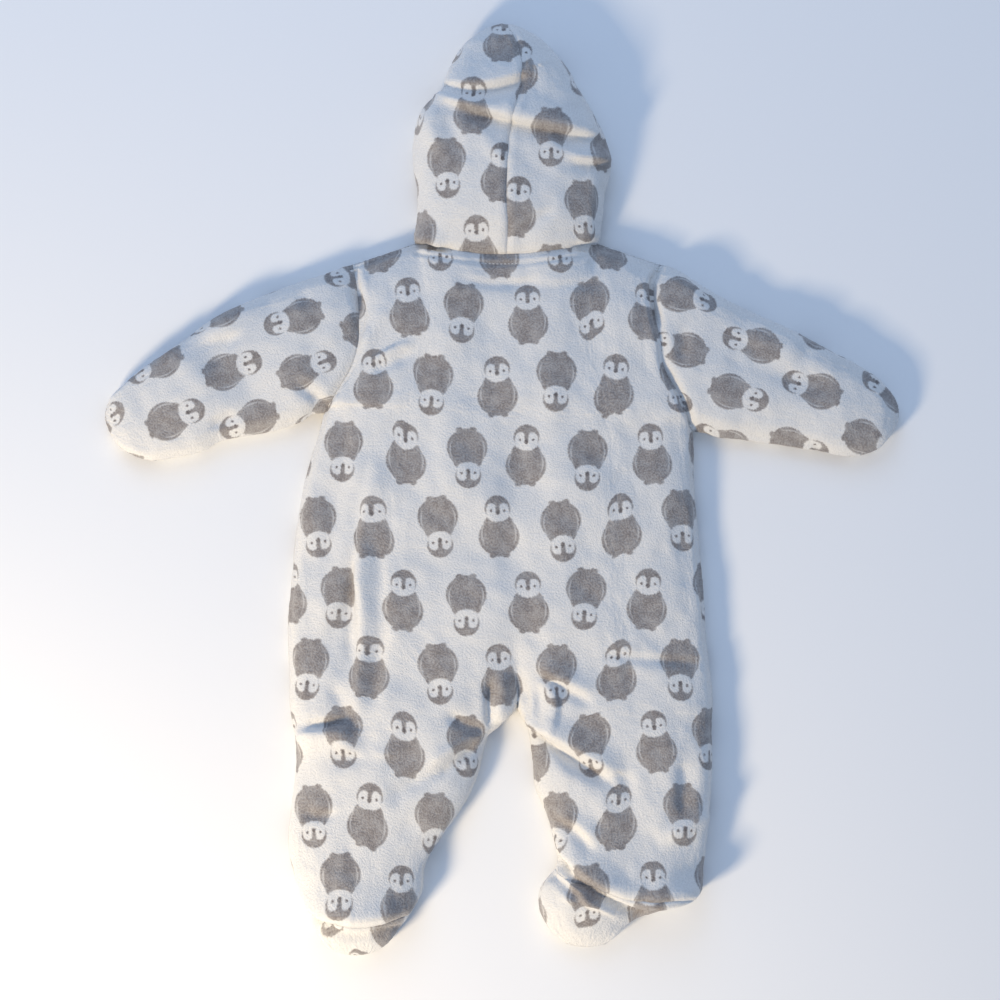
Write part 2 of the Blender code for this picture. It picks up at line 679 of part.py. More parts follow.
def stand_on_origin(collection):
    """Moves everything so that the origin is under the middle of the garment's box."""
    bpy.context.view_layer.update()
    meshes = [item for item in collection.objects if item.type == "MESH"]
    corners = [item.matrix_world @ vertex.co for item in meshes for vertex in item.data.vertices]
    places = np.array(corners)
    low, high = places.min(axis=0), places.max(axis=0)
    shift = np.array([(low[0] + high[0]) / 2, (low[1] + high[1]) / 2, low[2]])
    for item in collection.objects:
        if item.parent is None:
            item.location = np.array(item.location) - shift
    bpy.context.view_layer.update()


def main():
    for item in list(bpy.data.objects):
        bpy.data.objects.remove(item, do_unlink=True)
    collection = bpy.data.collections.new(GARMENT)
    bpy.context.scene.collection.children.link(collection)
    cloth_pieces(collection)
    zip_pieces(collection)
    stand_on_origin(collection)


main()
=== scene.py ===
"""The looks of a hooded, footed pramsuit in plush fleece, laid flat on its front.

The outside of the whole garment is one fine skin over the sections that its solids are lofted
through. The skin is eased smooth, its folds, seams and pile are pressed into it, and it is then cut
into the sewn pieces, each a closed wall of cloth. Sizes are in millimetres until a mesh is made.
"""

import math

import bmesh
import bpy
import numpy as np
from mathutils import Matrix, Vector


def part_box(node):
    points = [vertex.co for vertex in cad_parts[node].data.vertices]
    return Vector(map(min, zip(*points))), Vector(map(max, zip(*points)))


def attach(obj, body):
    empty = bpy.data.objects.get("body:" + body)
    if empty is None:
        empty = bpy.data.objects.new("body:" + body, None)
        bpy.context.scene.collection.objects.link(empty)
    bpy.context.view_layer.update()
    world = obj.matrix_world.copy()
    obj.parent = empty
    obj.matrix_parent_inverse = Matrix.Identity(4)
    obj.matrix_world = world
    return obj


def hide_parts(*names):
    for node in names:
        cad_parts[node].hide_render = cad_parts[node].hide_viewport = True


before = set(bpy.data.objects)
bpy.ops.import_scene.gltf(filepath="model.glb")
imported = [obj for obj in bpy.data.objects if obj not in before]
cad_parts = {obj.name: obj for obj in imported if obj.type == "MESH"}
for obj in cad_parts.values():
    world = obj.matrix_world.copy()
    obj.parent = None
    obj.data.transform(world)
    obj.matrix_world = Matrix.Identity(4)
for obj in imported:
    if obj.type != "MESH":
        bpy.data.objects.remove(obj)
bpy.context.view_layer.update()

MM = 0.001  # metres in a millimetre

# ---------------------------------------------------------------- the sections of the solids

WALL = 4.0  # the cloth's thickness, pile included
ZIP_X = 4.0  # the zip's middle line
SEAM_Z = 12.0  # height of the side seams
EDGE_RADIUS = 13.0  # of the turn from the underside up to a seam
FULLNESS = 2.6  # 2 makes a crowned section an ellipse, and more makes it fuller
NECK_CORNER = 0.59  # where the neck and shoulder seams meet, as a share of the half width
BACK_NECK_DROP, FRONT_NECK_DROP = 12.0, 28.0  # the neckline's depth below that corner
SHOULDER_RISE = 18.0  # how far that corner lies above the shoulder's tip, in plan
SLOT_HALF, SLOT_LIFT = 8.0, 2.0  # the zip's gap: half its width, and the height of its edges
SLOT_ROWS = 15  # the body sections that it runs through
HOOD_EDGE = 15.0  # radius of the turn at the hood's edge
MITT_LIFT = WALL + 0.8  # how far the palm side is lifted over the mitt flap
# Sections, counted from the armhole or the crotch. The mitt flap begins at MITT_ROW, the palm side
# ends at CUFF_ROW, a front gives way to the foot's upper at ANKLE_ROW, and the back to the sole at
# HEEL_ROW.
MITT_ROW, CUFF_ROW = 6, 8
ANKLE_ROW = 7
HEEL_ROW = {"left": 9, "right": 8}
MIDDLE = np.array([0.26, 0.495, -0.009])  # the middle of the garment's box, in the sections' frame

# Where the points of a section lie, as shares of the way from the centre line to the side, or from
# a leg's inner seam to its outer one.
BODY_COLUMNS = np.array([0, 0.15, 0.30, 0.45, 0.53, NECK_CORNER, 0.68, 0.80, 0.90, 0.96, 1])
LEG_COLUMNS = np.array([0, 0.04, 0.12, 0.24, 0.38, 0.52, 0.66, 0.79, 0.89, 0.96, 1])
NECK_COLUMN = 5  # the column at the neck's corner
ARMHOLE_ROW = 8  # the body section at the armpit


def table(columns, *rows):
    """A table with named columns, a row for each section."""
    names = columns.split()
    return {name: np.array([row[k] for row in rows], float) for k, name in enumerate(names)}


# Body sections from the shoulders to the crotch. top_z and under_z are the heights of the back's
# and the fronts' side edges, on the armhole first and then on the side seam. neck is how much of
# the neckline's bend a section keeps, rise how far it has risen from the shoulder seam, split how
# far it is parted into two legs, and middle_x its centre line.
BODY = table(
    "left_x left_y right_x right_y top_z under_z crown neck rise split middle_x",
    (-126, 187, 133, 187, 12, 12, 30, 1.00, 0.00, 0.00, 4),
    (-124, 179, 131, 179, 17, 3, 31, 0.85, 0.55, 0.00, 4),
    (-122, 167, 127, 168, 22, 0, 32, 0.65, 0.85, 0.00, 4),
    (-120, 147, 128, 148, 26, 0, 32, 0.42, 1.00, 0.00, 4),
    (-120, 121, 133, 120, 27, 0, 33, 0.22, 1.00, 0.00, 4),
    (-126, 98, 136, 98, 25, 0, 33, 0.10, 1.00, 0.00, 4),
    (-137, 80, 148, 76, 22, 0, 33, 0.03, 1.00, 0.00, 4),
    (-144, 69, 155, 59, 20, 1, 33, 0.00, 1.00, 0.00, 4),
    (-148, 62, 159, 47, 12, 12, 33, 0.00, 1.00, 0.00, 4),
    (-154, 39, 160, 30, 12, 12, 33, 0.00, 1.00, 0.00, 4),
    (-162, 12, 160, 8, 12, 12, 33, 0.00, 1.00, 0.00, 4),
    (-167, -12, 161, -15, 12, 12, 32, 0.00, 1.00, 0.00, 4),
    (-171, -39, 163, -39, 12, 12, 32, 0.00, 1.00, 0.00, 4),
    (-173, -63, 165, -63, 12, 12, 31, 0.00, 1.00, 0.00, 4),
    (-175, -86, 167, -86, 12, 12, 31, 0.00, 1.00, 0.00, 4),
    (-177, -108, 168, -108, 12, 12, 31, 0.00, 1.00, 0.00, 6),
    (-177, -128, 169, -128, 12, 12, 31, 0.00, 1.00, 0.10, 9),
    (-176, -146, 171, -146, 12, 12, 31, 0.00, 1.00, 0.30, 12),
    (-175, -164, 173, -164, 12, 12, 31, 0.00, 1.00, 0.60, 13),
    (-175, -183, 174, -183, 12, 12, 31, 0.00, 1.00, 1.00, 13),
)

# Leg sections below the crotch, to the end of the foot. sag bends a section's middle towards the
# toes, and even spreads its columns evenly, where the foot closes. under is the underside's height.
LEG_HEAD = "outer_x outer_y inner_x inner_y crown edge_z sag even under"
LEG = {
    "left": table(
        LEG_HEAD,
        (-173, -197, -1, -199, 31, 12, 0, 0, 0),
        (-170, -213, -13, -210, 32, 12, 0, 0, 0),
        (-169, -231, -18, -230, 33, 12, 0, 0, 0),
        (-171, -251, -25, -251, 33, 12, 0, 0, 0),
        (-173, -272, -37, -272, 33, 12, 0, 0, 0),
        (-175, -294, -53, -294, 33, 12, 0, 0, 0),
        (-172, -316, -65, -316, 34, 12, 0, 0, 0),
        (-165, -336, -67, -336, 36, 12, 4, 0, 0),
        (-155, -355, -76, -353, 37, 12, 11, 0, 0),
        (-153, -365, -84, -364, 31, 12, 9, 0, 0),
        (-145, -378, -94, -377, 24, 11, 5, 0.5, 0),
        (-135, -385, -107, -385, 10, 10, 3, 1, 10),
    ),
    "right": table(
        LEG_HEAD,
        (173, -197, 21, -199, 31, 12, 0, 0, 0),
        (173, -215, 25, -215, 32, 12, 0, 0, 0),
        (173, -233, 27, -233, 33, 12, 0, 0, 0),
        (172, -252, 29, -252, 33, 12, 0, 0, 0),
        (170, -273, 38, -273, 33, 12, 0, 0, 0),
        (168, -294, 44, -294, 34, 12, 0, 0, 0),
        (165, -315, 47, -308, 36, 12, 4, 0, 0),
        (160, -338, 45, -319, 38, 12, 10, 0, 0),
        (122, -353, 34, -333, 32, 12, 5, 0, 0),
        (106, -360, 32, -349, 28, 12, 5, 0, 0),
        (95, -371, 40, -366, 22, 11, 4, 0.5, 0),
        (84, -379, 55, -379, 10, 10, 2, 1, 10),
    ),
}

# Sleeve sections from the armhole to the tip, across the sleeve from its upper edge to the
# underarm. bow bends a section's middle towards the body.
SLEEVE_HEAD = "upper_x upper_y lower_x lower_y crown edge_z bow under"
SLEEVE = {
    "left": table(
        SLEEVE_HEAD,
        (-148, 179, -159, 62, 29, 12, 10, 0),
        (-169, 172, -172, 54, 29, 12, 5, 0),
        (-193, 163, -193, 47, 28, 12, 2, 0),
        (-216, 154, -214, 43, 28, 12, 0, 0),
        (-240, 142, -235, 39, 28, 13, 0, 0),
        (-262, 126, -255, 29, 28, 13, 0, 0),
        (-283, 111, -277, 24, 28, 13, 0, 0),
        (-302, 98, -295, 22, 27, 13, 0, 0),
        (-317, 85, -311, 27, 24, 13, 0, 0),
        (-326, 77, -322, 35, 19, 12, -1, 0),
        (-330, 71, -328, 44, 11, 11, -4, 11),
    ),
    "right": table(
        SLEEVE_HEAD,
        (150, 181, 169, 46, 29, 12, 10, 0),
        (169, 168, 182, 42, 29, 12, 5, 0),
        (190, 156, 201, 40, 28, 12, 2, 0),
        (212, 145, 222, 37, 28, 12, 0, 0),
        (234, 135, 243, 34, 28, 13, 0, 0),
        (256, 124, 263, 31, 28, 13, 0, 0),
        (278, 112, 284, 26, 28, 13, 0, 0),
        (297, 102, 301, 26, 27, 13, 0, 0),
        (314, 91, 316, 32, 24, 13, 0, 0),
        (324, 81, 325, 41, 19, 12, -1, 0),
        (330, 74, 329, 47, 11, 11, -4, 11),
    ),
}

# Hood sections from just above the neck seam to the top. seam_x is the centre seam, and reach is
# how far the face opening's hem comes in under the hood, 1 being shut. dome bends a section's
# middle towards the top.
HOOD = table(
    "left_x right_x y seam_x crown edge_z reach even under dome",
    (-72, 82, 215, 5, 40, 14, 0.66, 0, 0, 0),
    (-70, 84, 231, 4, 44, 16, 0.48, 0, 0, 0),
    (-70, 86, 250, 4, 46, 17, 0.40, 0, 0, 0),
    (-73, 91, 268, 5, 47, 18, 0.38, 0, 0, 0),
    (-74, 89, 288, 6, 47, 18, 0.38, 0, 0, 0),
    (-71, 80, 307, 9, 47, 18, 0.40, 0, 0, 0),
    (-64, 73, 323, 13, 46, 18, 0.46, 0, 0, 0),
    (-48, 63, 339, 16, 44, 17, 0.60, 0, 0, 0),
    (-44, 56, 354, 17, 41, 16, 0.85, 0, 0, 0),
    (-39, 47, 366, 15, 36, 15, 1, 0.3, 0, 2),
    (-31, 37, 378, 10, 29, 14, 1, 0.7, 2, 6),
    (-20, 24, 387, 4, 14, 14, 1, 1, 14, 9),
)


def mix(a, b, t):
    return a + (b - a) * t


def crown(across, fullness=FULLNESS):
    """Height of a crowned section as a share of its crown: 1 in the middle, 0 at across = 1."""
    return (1 - np.clip(np.abs(across), 0, 1) ** fullness) ** (1 / fullness)


def turned_edge(distance, radius):
    """1 at an edge, falling on a quarter circle to 0 at the radius."""
    inside = 1 - np.clip(distance / radius, 0, 1)
    return 1 - np.sqrt(1 - inside**2)


def neckline(columns, row, drop):
    """How much a body section is raised at each column, from the shoulder tip's level."""
    on_shoulder = (1 - columns) / (1 - NECK_CORNER)
    on_neck = 1 - (drop / SHOULDER_RISE) * (1 - (columns / NECK_CORNER) ** 2)
    return SHOULDER_RISE * np.where(columns > NECK_CORNER, on_shoulder, on_neck) * BODY["neck"][row]


def body_section(side, face, row):
    """Points of one body section from the centre line to the side, on one half and one face."""
    split = BODY["split"][row]
    columns = mix(BODY_COLUMNS, LEG_COLUMNS, split)
    centre_x = BODY["middle_x"][row]
    side_x, side_y = BODY[side + "_x"][row], BODY[side + "_y"][row]
    centre_y = (BODY["left_y"][row] + BODY["right_y"][row]) / 2
    drop = BACK_NECK_DROP if face == "top" else FRONT_NECK_DROP
    x = mix(centre_x, side_x, columns)
    if face == "under" and row < SLOT_ROWS:
        x[0] += SLOT_HALF if side == "right" else -SLOT_HALF
    y = mix(centre_y, side_y, columns) + neckline(columns, row, drop)
    half_width = abs(side_x - centre_x)
    if face == "top":
        top = BODY["crown"][row]
        edge = BODY["top_z"][row]
        on_body = edge + (top - edge) * crown(columns)
        on_leg = edge + (top - edge) * crown(2 * columns - 1)
        on_shoulder = SEAM_Z + (top - SEAM_Z) * crown(columns / NECK_CORNER)
        z = mix(on_shoulder, mix(on_body, on_leg, split), BODY["rise"][row])
    else:
        edge = BODY["under_z"][row]
        z = edge * turned_edge((1 - columns) * half_width, EDGE_RADIUS)
        z += split * SEAM_Z * turned_edge(columns * half_width, EDGE_RADIUS)
        if row == 0:
            past_corner = (NECK_CORNER - columns) * half_width
            z = SEAM_Z * turned_edge(past_corner, EDGE_RADIUS)
        if row < SLOT_ROWS:
            z[0] = SLOT_LIFT
    return list(zip(x, y, z))


def reach_across(sections, row, end):
    """A leg section's width, measured square to the leg's outline at one of its ends."""
    across_x = sections["outer_x"][row] - sections["inner_x"][row]
    across_y = sections["outer_y"][row] - sections["inner_y"][row]
    before, after = max(row - 1, 0), min(row + 1, len(sections["crown"]) - 1)
    outline_x = sections[end + "_x"][after] - sections[end + "_x"][before]
    outline_y = sections[end + "_y"][after] - sections[end + "_y"][before]
    crossed = across_x * outline_y - across_y * outline_x
    return abs(crossed) / math.hypot(outline_x, outline_y)


def leg_section(side, face, row):
    """Points of one leg section from the inner seam to the outer seam, on one face."""
    sections = LEG[side]
    section = {name: values[row] for name, values in sections.items()}
    even = np.linspace(0, 1, len(LEG_COLUMNS))
    columns = mix(LEG_COLUMNS, even, section["even"])
    x = mix(section["inner_x"], section["outer_x"], columns)
    y = mix(section["inner_y"], section["outer_y"], columns)
    y -= section["sag"] * (1 - (2 * columns - 1) ** 2)
    edge = section["edge_z"]
    if face == "top":
        z = edge + (section["crown"] - edge) * crown(2 * columns - 1)
    else:
        from_inner = columns * reach_across(sections, row, "inner")
        from_outer = (1 - columns) * reach_across(sections, row, "outer")
        turned = turned_edge(np.minimum(from_inner, from_outer), EDGE_RADIUS)
        z = section["under"] + (edge - section["under"]) * turned
    return list(zip(x, y, z))


def body_and_leg(side, face):
    """All sections of one half and one face, from the shoulder to the toes."""
    body = [body_section(side, face, row) for row in range(len(BODY["crown"]))]
    leg = [leg_section(side, face, row) for row in range(len(LEG[side]["crown"]))]
    return body + leg


def sleeve_section(side, face, row, columns, lift=0):
    """Points of one sleeve section from its upper edge to the underarm, on one face."""
    section = {name: values[row] for name, values in SLEEVE[side].items()}
    upper = np.array([section["upper_x"], section["upper_y"]])
    lower = np.array([section["lower_x"], section["lower_y"]])
    width = np.linalg.norm(lower - upper)
    down = (lower - upper) / width
    x = upper[0] + down[0] * width * columns
    y = upper[1] + down[1] * width * columns
    toward_body = 1 if side == "left" else -1
    x += toward_body * section["bow"] * (1 - (2 * columns - 1) ** 2)
    edge = section["edge_z"]
    if face == "top":
        z = edge + (section["crown"] - edge) * crown(2 * columns - 1)
    else:
        nearest = np.minimum(columns, 1 - columns) * width
        low = max(section["under"], lift)
        z = low + (edge - low) * turned_edge(nearest, EDGE_RADIUS)
    return list(zip(x, y, z))


def sleeve_columns(armhole):
    """Each armhole point's share of the way from the shoulder tip to the armpit."""
    steps = np.linalg.norm(np.diff(np.array(armhole)[:, :2], axis=0), axis=1)
    return np.concatenate([[0], np.cumsum(steps)]) / steps.sum()


def hood_section(side, face, row, first):
    """Points of one hood section: over the top from the centre seam to the edge, or on under it
    from the edge to the hem of the face opening. first is the section's share at each column."""
    section = {name: values[row] for name, values in HOOD.items()}
    even = np.linspace(0, 1, len(first))
    columns = mix(first, even, section["even"])
    edge_x = section[side + "_x"]
    half_width = abs(edge_x - section["seam_x"])
    edge = section["edge_z"]
    if face == "top":
        x = mix(section["seam_x"], edge_x, columns)
        z = edge + (section["crown"] - edge) * crown(columns)
    else:
        reach = columns * section["reach"]
        x = mix(edge_x, section["seam_x"], reach)
        low = section["under"]
        z = low + (edge - low) * turned_edge(reach * half_width, HOOD_EDGE)
    middle_x = (section["left_x"] + section["right_x"]) / 2
    across = (x - middle_x) / (section["right_x"] - middle_x)
    return list(zip(x, section["y"] + section["dome"] * (1 - across**2), z))


# ---------------------------------------------------------------- the fine skin

STEPS = 8  # fine points from one section point to the next
EASE_PASSES = 14  # smoothing passes over the fine skin
EASE_IN, EASE_BACK = 0.5, -0.52  # a pass's step towards the neighbours, and its step back


def curved(grid, steps):
    """The grid with `steps` points for each of its own along its first axis, on smooth curves."""
    ends = [2 * grid[:1] - grid[1:2], grid, 2 * grid[-1:] - grid[-2:-1]]
    before, start, end, after = (np.concatenate(ends)[k : len(grid) - 1 + k] for k in range(4))
    t = (np.arange(steps) / steps).reshape(1, -1, *[1] * (grid.ndim - 1))
    before, start, end, after = (part[:, None] for part in (before, start, end, after))
    line = start + 0.5 * t * (
        end - before + t * (2 * before - 5 * start + 4 * end - after)
        + t**2 * (3 * (start - end) + after - before)
    )
    return np.concatenate([line.reshape(-1, *grid.shape[1:]), grid[-1:]])


def fine(grid):
    """A patch's grid, made fine both ways."""
    return curved(curved(grid, STEPS).swapaxes(0, 1), STEPS).swapaxes(0, 1)


class Skin:
    """The outside of the garment: points shared by neighbouring patches, and faces by piece.

    A face keeps where its corners lie in the flat cut, in millimetres, because a print follows the
    cut and not the lie.
    """

    def __init__(self):
        self.keys = {}
        self.fine_keys = {}
        self.sums, self.counts = [], []
        self.quads, self.flats = {}, {}

    def _control(self, place):
        key = tuple(round(float(value), 2) for value in place)
        return self.keys.setdefault(key, len(self.keys))

    def _fine(self, key, place):
        index = self.fine_keys.setdefault(key, len(self.sums))
        if index == len(self.sums):
            self.sums.append(np.zeros(3))
            self.counts.append(0)
        self.sums[index] += place
        self.counts[index] += 1
        return index

    def add(self, sections, flat, face, *pieces):
        """Adds the patch through these sections. Each of pieces is (name, first row, last row)."""
        sections, flat = np.array(sections, float), np.array(flat, float)
        control = [[self._control(place) for place in section] for section in sections]
        places, flat = fine(sections), fine(flat)
        index = np.zeros(places.shape[:2], int)
        for i in range(places.shape[0]):
            row, down = divmod(i, STEPS)
            for j in range(places.shape[1]):
                column, over = divmod(j, STEPS)
                if down and over:
                    key = ("inside", len(self.sums))
                elif down or over:
                    a = control[row][column]
                    b = control[row + bool(down)][column + bool(over)]
                    step = down + over
                    key = (a, b, step) if a < b else (b, a, STEPS - step)
                else:
                    key = control[row][column]
                index[i, j] = self._fine(key, places[i, j])
        corners = [index[:-1, :-1], index[1:, :-1], index[1:, 1:], index[:-1, 1:]]
        spots = [flat[:-1, :-1], flat[1:, :-1], flat[1:, 1:], flat[:-1, 1:]]
        ahead = places[1:, 1:] - places[:-1, :-1]
        aside = places[:-1, 1:] - places[1:, :-1]
        if (np.cross(ahead, aside)[..., 2].sum() > 0) != (face == "top"):
            corners, spots = corners[::-1], spots[::-1]
        quads, spots = np.stack(corners, -1), np.stack(spots, -2)
        for name, first, last in pieces:
            rows = slice(first * STEPS, last * STEPS)
            self.quads.setdefault(name, []).append(quads[rows].reshape(-1, 4))
            self.flats.setdefault(name, []).append(spots[rows].reshape(-1, 4, 2))
        return index

    def close(self):
        """Ends the adding: points, faces and edges become arrays."""
        self.points = np.array(self.sums) / np.array(self.counts)[:, None]
        self.quads = {name: np.concatenate(parts) for name, parts in self.quads.items()}
        self.flats = {name: np.concatenate(parts) for name, parts in self.flats.items()}
        self.every = np.concatenate(list(self.quads.values()))
        pairs = np.concatenate([self.every[:, [k, (k + 1) % 4]] for k in range(4)])
        pairs, uses = np.unique(np.sort(pairs, 1), axis=0, return_counts=True)
        self.edges = pairs
        self.hem = np.zeros(len(self.points), bool)
        self.hem[pairs[uses == 1]] = True

    def average(self, values):
        """Each point's neighbours' average of some values."""
        total = np.zeros_like(values, float)
        count = np.zeros(len(values))
        for a, b in (self.edges.T, self.edges.T[::-1]):
            np.add.at(total, a, values[b])
            np.add.at(count, a, 1)
        return total / (count if values.ndim == 1 else count[:, None])

    def ease(self, passes):
        """Smooths the skin without shrinking it. Its hems stay."""
        for share in (EASE_IN, EASE_BACK) * passes:
            move = self.average(self.points) - self.points
            move[self.hem] = 0
            self.points += share * move

    def normals(self, passes=0):
        """Each point's normal, averaged with its neighbours' this many times."""
        corners = self.points[self.every]
        facing = np.cross(corners[:, 2] - corners[:, 0], corners[:, 3] - corners[:, 1])
        total = np.zeros_like(self.points)
        for k in range(4):
            np.add.at(total, self.every[:, k], facing)
        for _ in range(passes):
            total = self.average(total)
        return total / np.linalg.norm(total, axis=1)[:, None]

    def from_points(self, marked, reach):
        """Each point's distance from the nearest marked one, along the skin, up to reach."""
        length = np.linalg.norm(np.diff(self.points[self.edges], axis=1)[:, 0], axis=1)
        distance = np.where(marked, 0.0, 2.0 * reach)
        for _ in range(int(reach)):
            for a, b in (self.edges.T, self.edges.T[::-1]):
                np.minimum.at(distance, a, distance[b] + length)
        return distance


def run_across(section_rows, axis=(0, 2)):
    """Length run along each section, from its first point, over the given axes."""
    steps = np.diff(np.array(section_rows, float)[..., axis], axis=1)
    length = np.linalg.norm(steps, axis=2)
    return np.concatenate([np.zeros((len(length), 1)), np.cumsum(length, axis=1)], axis=1)


def run_along(places, direction):
    """Length run from section to section: the steps along a direction in plan, and in height."""
    steps = np.diff(places, axis=0)
    length = np.hypot(steps[..., :2] @ direction, steps[..., 2])
    return np.concatenate([np.zeros((1, places.shape[1])), np.cumsum(length, axis=0)])


def flat_body(sections, side):
    """The flat cut of the back's or a front's half: across from the middle, and down the body."""
    places = np.array(sections, float)
    sign = 1 if side == "right" else -1
    run = run_across(sections)
    middle = NECK_COLUMN
    split = np.ones(len(places))
    split[: len(BODY["split"])] = BODY["split"]
    from_centre = places[:, :1, 0] + sign * run
    from_middle = places[:, middle : middle + 1, 0] + sign * (run - run[:, middle : middle + 1])
    across = mix(from_centre, from_middle, split[:, None])
    return np.stack([across, places[:1, :, 1] - run_along(places, (0, 1))], -1)


def flat_sleeve(sections, side, top_flat=None):
    """The flat cut of a sleeve: across it from its upper edge, and along it towards the tip. The
    palm side goes on from the upper side's cut, where that is given."""
    places = np.array(sections, float)
    columns = SLEEVE[side]
    start, end = (
        np.array([columns["upper_" + axis][k] + columns["lower_" + axis][k] for axis in "xy"]) / 2
        for k in (0, -1)
    )
    along = (end - start) / np.linalg.norm(end - start)
    down = np.array([along[1], -along[0]]) * (1 if side == "right" else -1)
    run = run_across(sections, (0, 1, 2))
    if top_flat is None:
        across = places[:, :1, :2] @ down + run
    else:
        across = top_flat[: len(places), :1, 0] - run
    first = (places[:1, :, :2] - start) @ along
    return np.stack([across, first + run_along(places, along)], -1)


def flat_hood(sections, side, start=None):
    """The flat cut of half a hood: across from its centre seam, and on round its edge."""
    places = np.array(sections, float)
    sign = 1 if side == "right" else -1
    first = places[:, :1, 0] if start is None else start
    along = places[:1, :, 1] + run_along(places, (0, 1))
    return np.stack([first + sign * run_across(sections), along], -1)


def whole_skin():
    """The skin through every section, and the point numbers of the rows that stitches follow."""
    skin = Skin()
    rows = {}
    body_rows = len(BODY["crown"])
    for side in ("left", "right"):
        top, under = body_and_leg(side, "top"), body_and_leg(side, "under")
        end = len(top) - 1
        heel, ankle = body_rows + HEEL_ROW[side] - 1, body_rows + ANKLE_ROW - 1
        rows["back_" + side] = skin.add(
            top, flat_body(top, side), "top", ("back", 0, heel), ("sole_" + side, heel, end)
        )
        rows["front_" + side] = skin.add(
            under, flat_body(under, side), "under",
            ("front_" + side, 0, ankle), ("foot_" + side, ankle, end),
        )

        top_ring = [section[-1] for section in top[: ARMHOLE_ROW + 1]]
        under_ring = [section[-1] for section in under[: ARMHOLE_ROW + 1]]
        columns = sleeve_columns(top_ring)
        over, below, mitt = [top_ring], [under_ring], []
        for row in range(len(SLEEVE[side]["crown"])):
            # The mitt's sides are caught in the seam along the sleeve's edges.
            lift = MITT_LIFT if MITT_ROW <= row + 1 <= CUFF_ROW else 0
            over.append(sleeve_section(side, "top", row, columns))
            if row < CUFF_ROW:
                below.append(sleeve_section(side, "under", row, columns, lift))
            if row + 1 >= MITT_ROW:
                mitt.append(sleeve_section(side, "under", row, columns))
        over_flat = flat_sleeve(over, side)
        below_flat = flat_sleeve(below, side, over_flat)
        name = "sleeve_" + side
        skin.add(over, over_flat, "top", (name, 0, len(over) - 1))
        rows[name] = skin.add(below, below_flat, "under", (name, 0, len(below) - 1))
        name = "mitt_" + side
        rows[name] = skin.add(mitt, flat_sleeve(mitt, side), "under", (name, 0, len(mitt) - 1))

        first = BODY_COLUMNS[: NECK_COLUMN + 1] / NECK_CORNER
        hood, inside = [top[0][: NECK_COLUMN + 1]], [under[0][NECK_COLUMN::-1]]
        for row in range(len(HOOD["y"])):
            hood.append(hood_section(side, "top", row, first))
            inside.append(hood_section(side, "under", row, 1 - first[::-1]))
        hood_flat = flat_hood(hood, side)
        name = "hood_" + side
        skin.add(hood, hood_flat, "top", (name, 0, len(hood) - 1))
        inside_flat = flat_hood(inside, side, hood_flat[:, -1:, 0])
        rows[name] = skin.add(inside, inside_flat, "under", (name, 0, len(inside) - 1))
    skin.close()
    return skin, rows


# Topstitching, in steps of the fine skin: below the neck seam, beside the zip, in from the hem of
# the face opening and along the steps of the hood where it is open, and in from the cuffs' hems.
NECK_STITCH, ZIP_STITCH, HOOD_STITCH, HOOD_OPEN, CUFF_STITCH = 7, 3, 11, (18, 84), 4


def stitched_rows(rows):
    """Points of the skin along each row of topstitching."""
    neck = slice(0, NECK_COLUMN * STEPS + 1)
    below_neck = [rows["back_" + side][NECK_STITCH, neck] for side in ("left", "right")]
    stitched = [np.concatenate([below_neck[0][:0:-1], below_neck[1]])]
    for side in ("left", "right"):
        stitched.append(rows["front_" + side][: SLOT_ROWS * STEPS, ZIP_STITCH])
        stitched.append(rows["hood_" + side][HOOD_OPEN[0] : HOOD_OPEN[1], -HOOD_STITCH])
        stitched.append(rows["sleeve_" + side][-CUFF_STITCH])
        stitched.append(rows["mitt_" + side][CUFF_STITCH])
    return stitched


# ---------------------------------------------------------------- folds, seams and pile

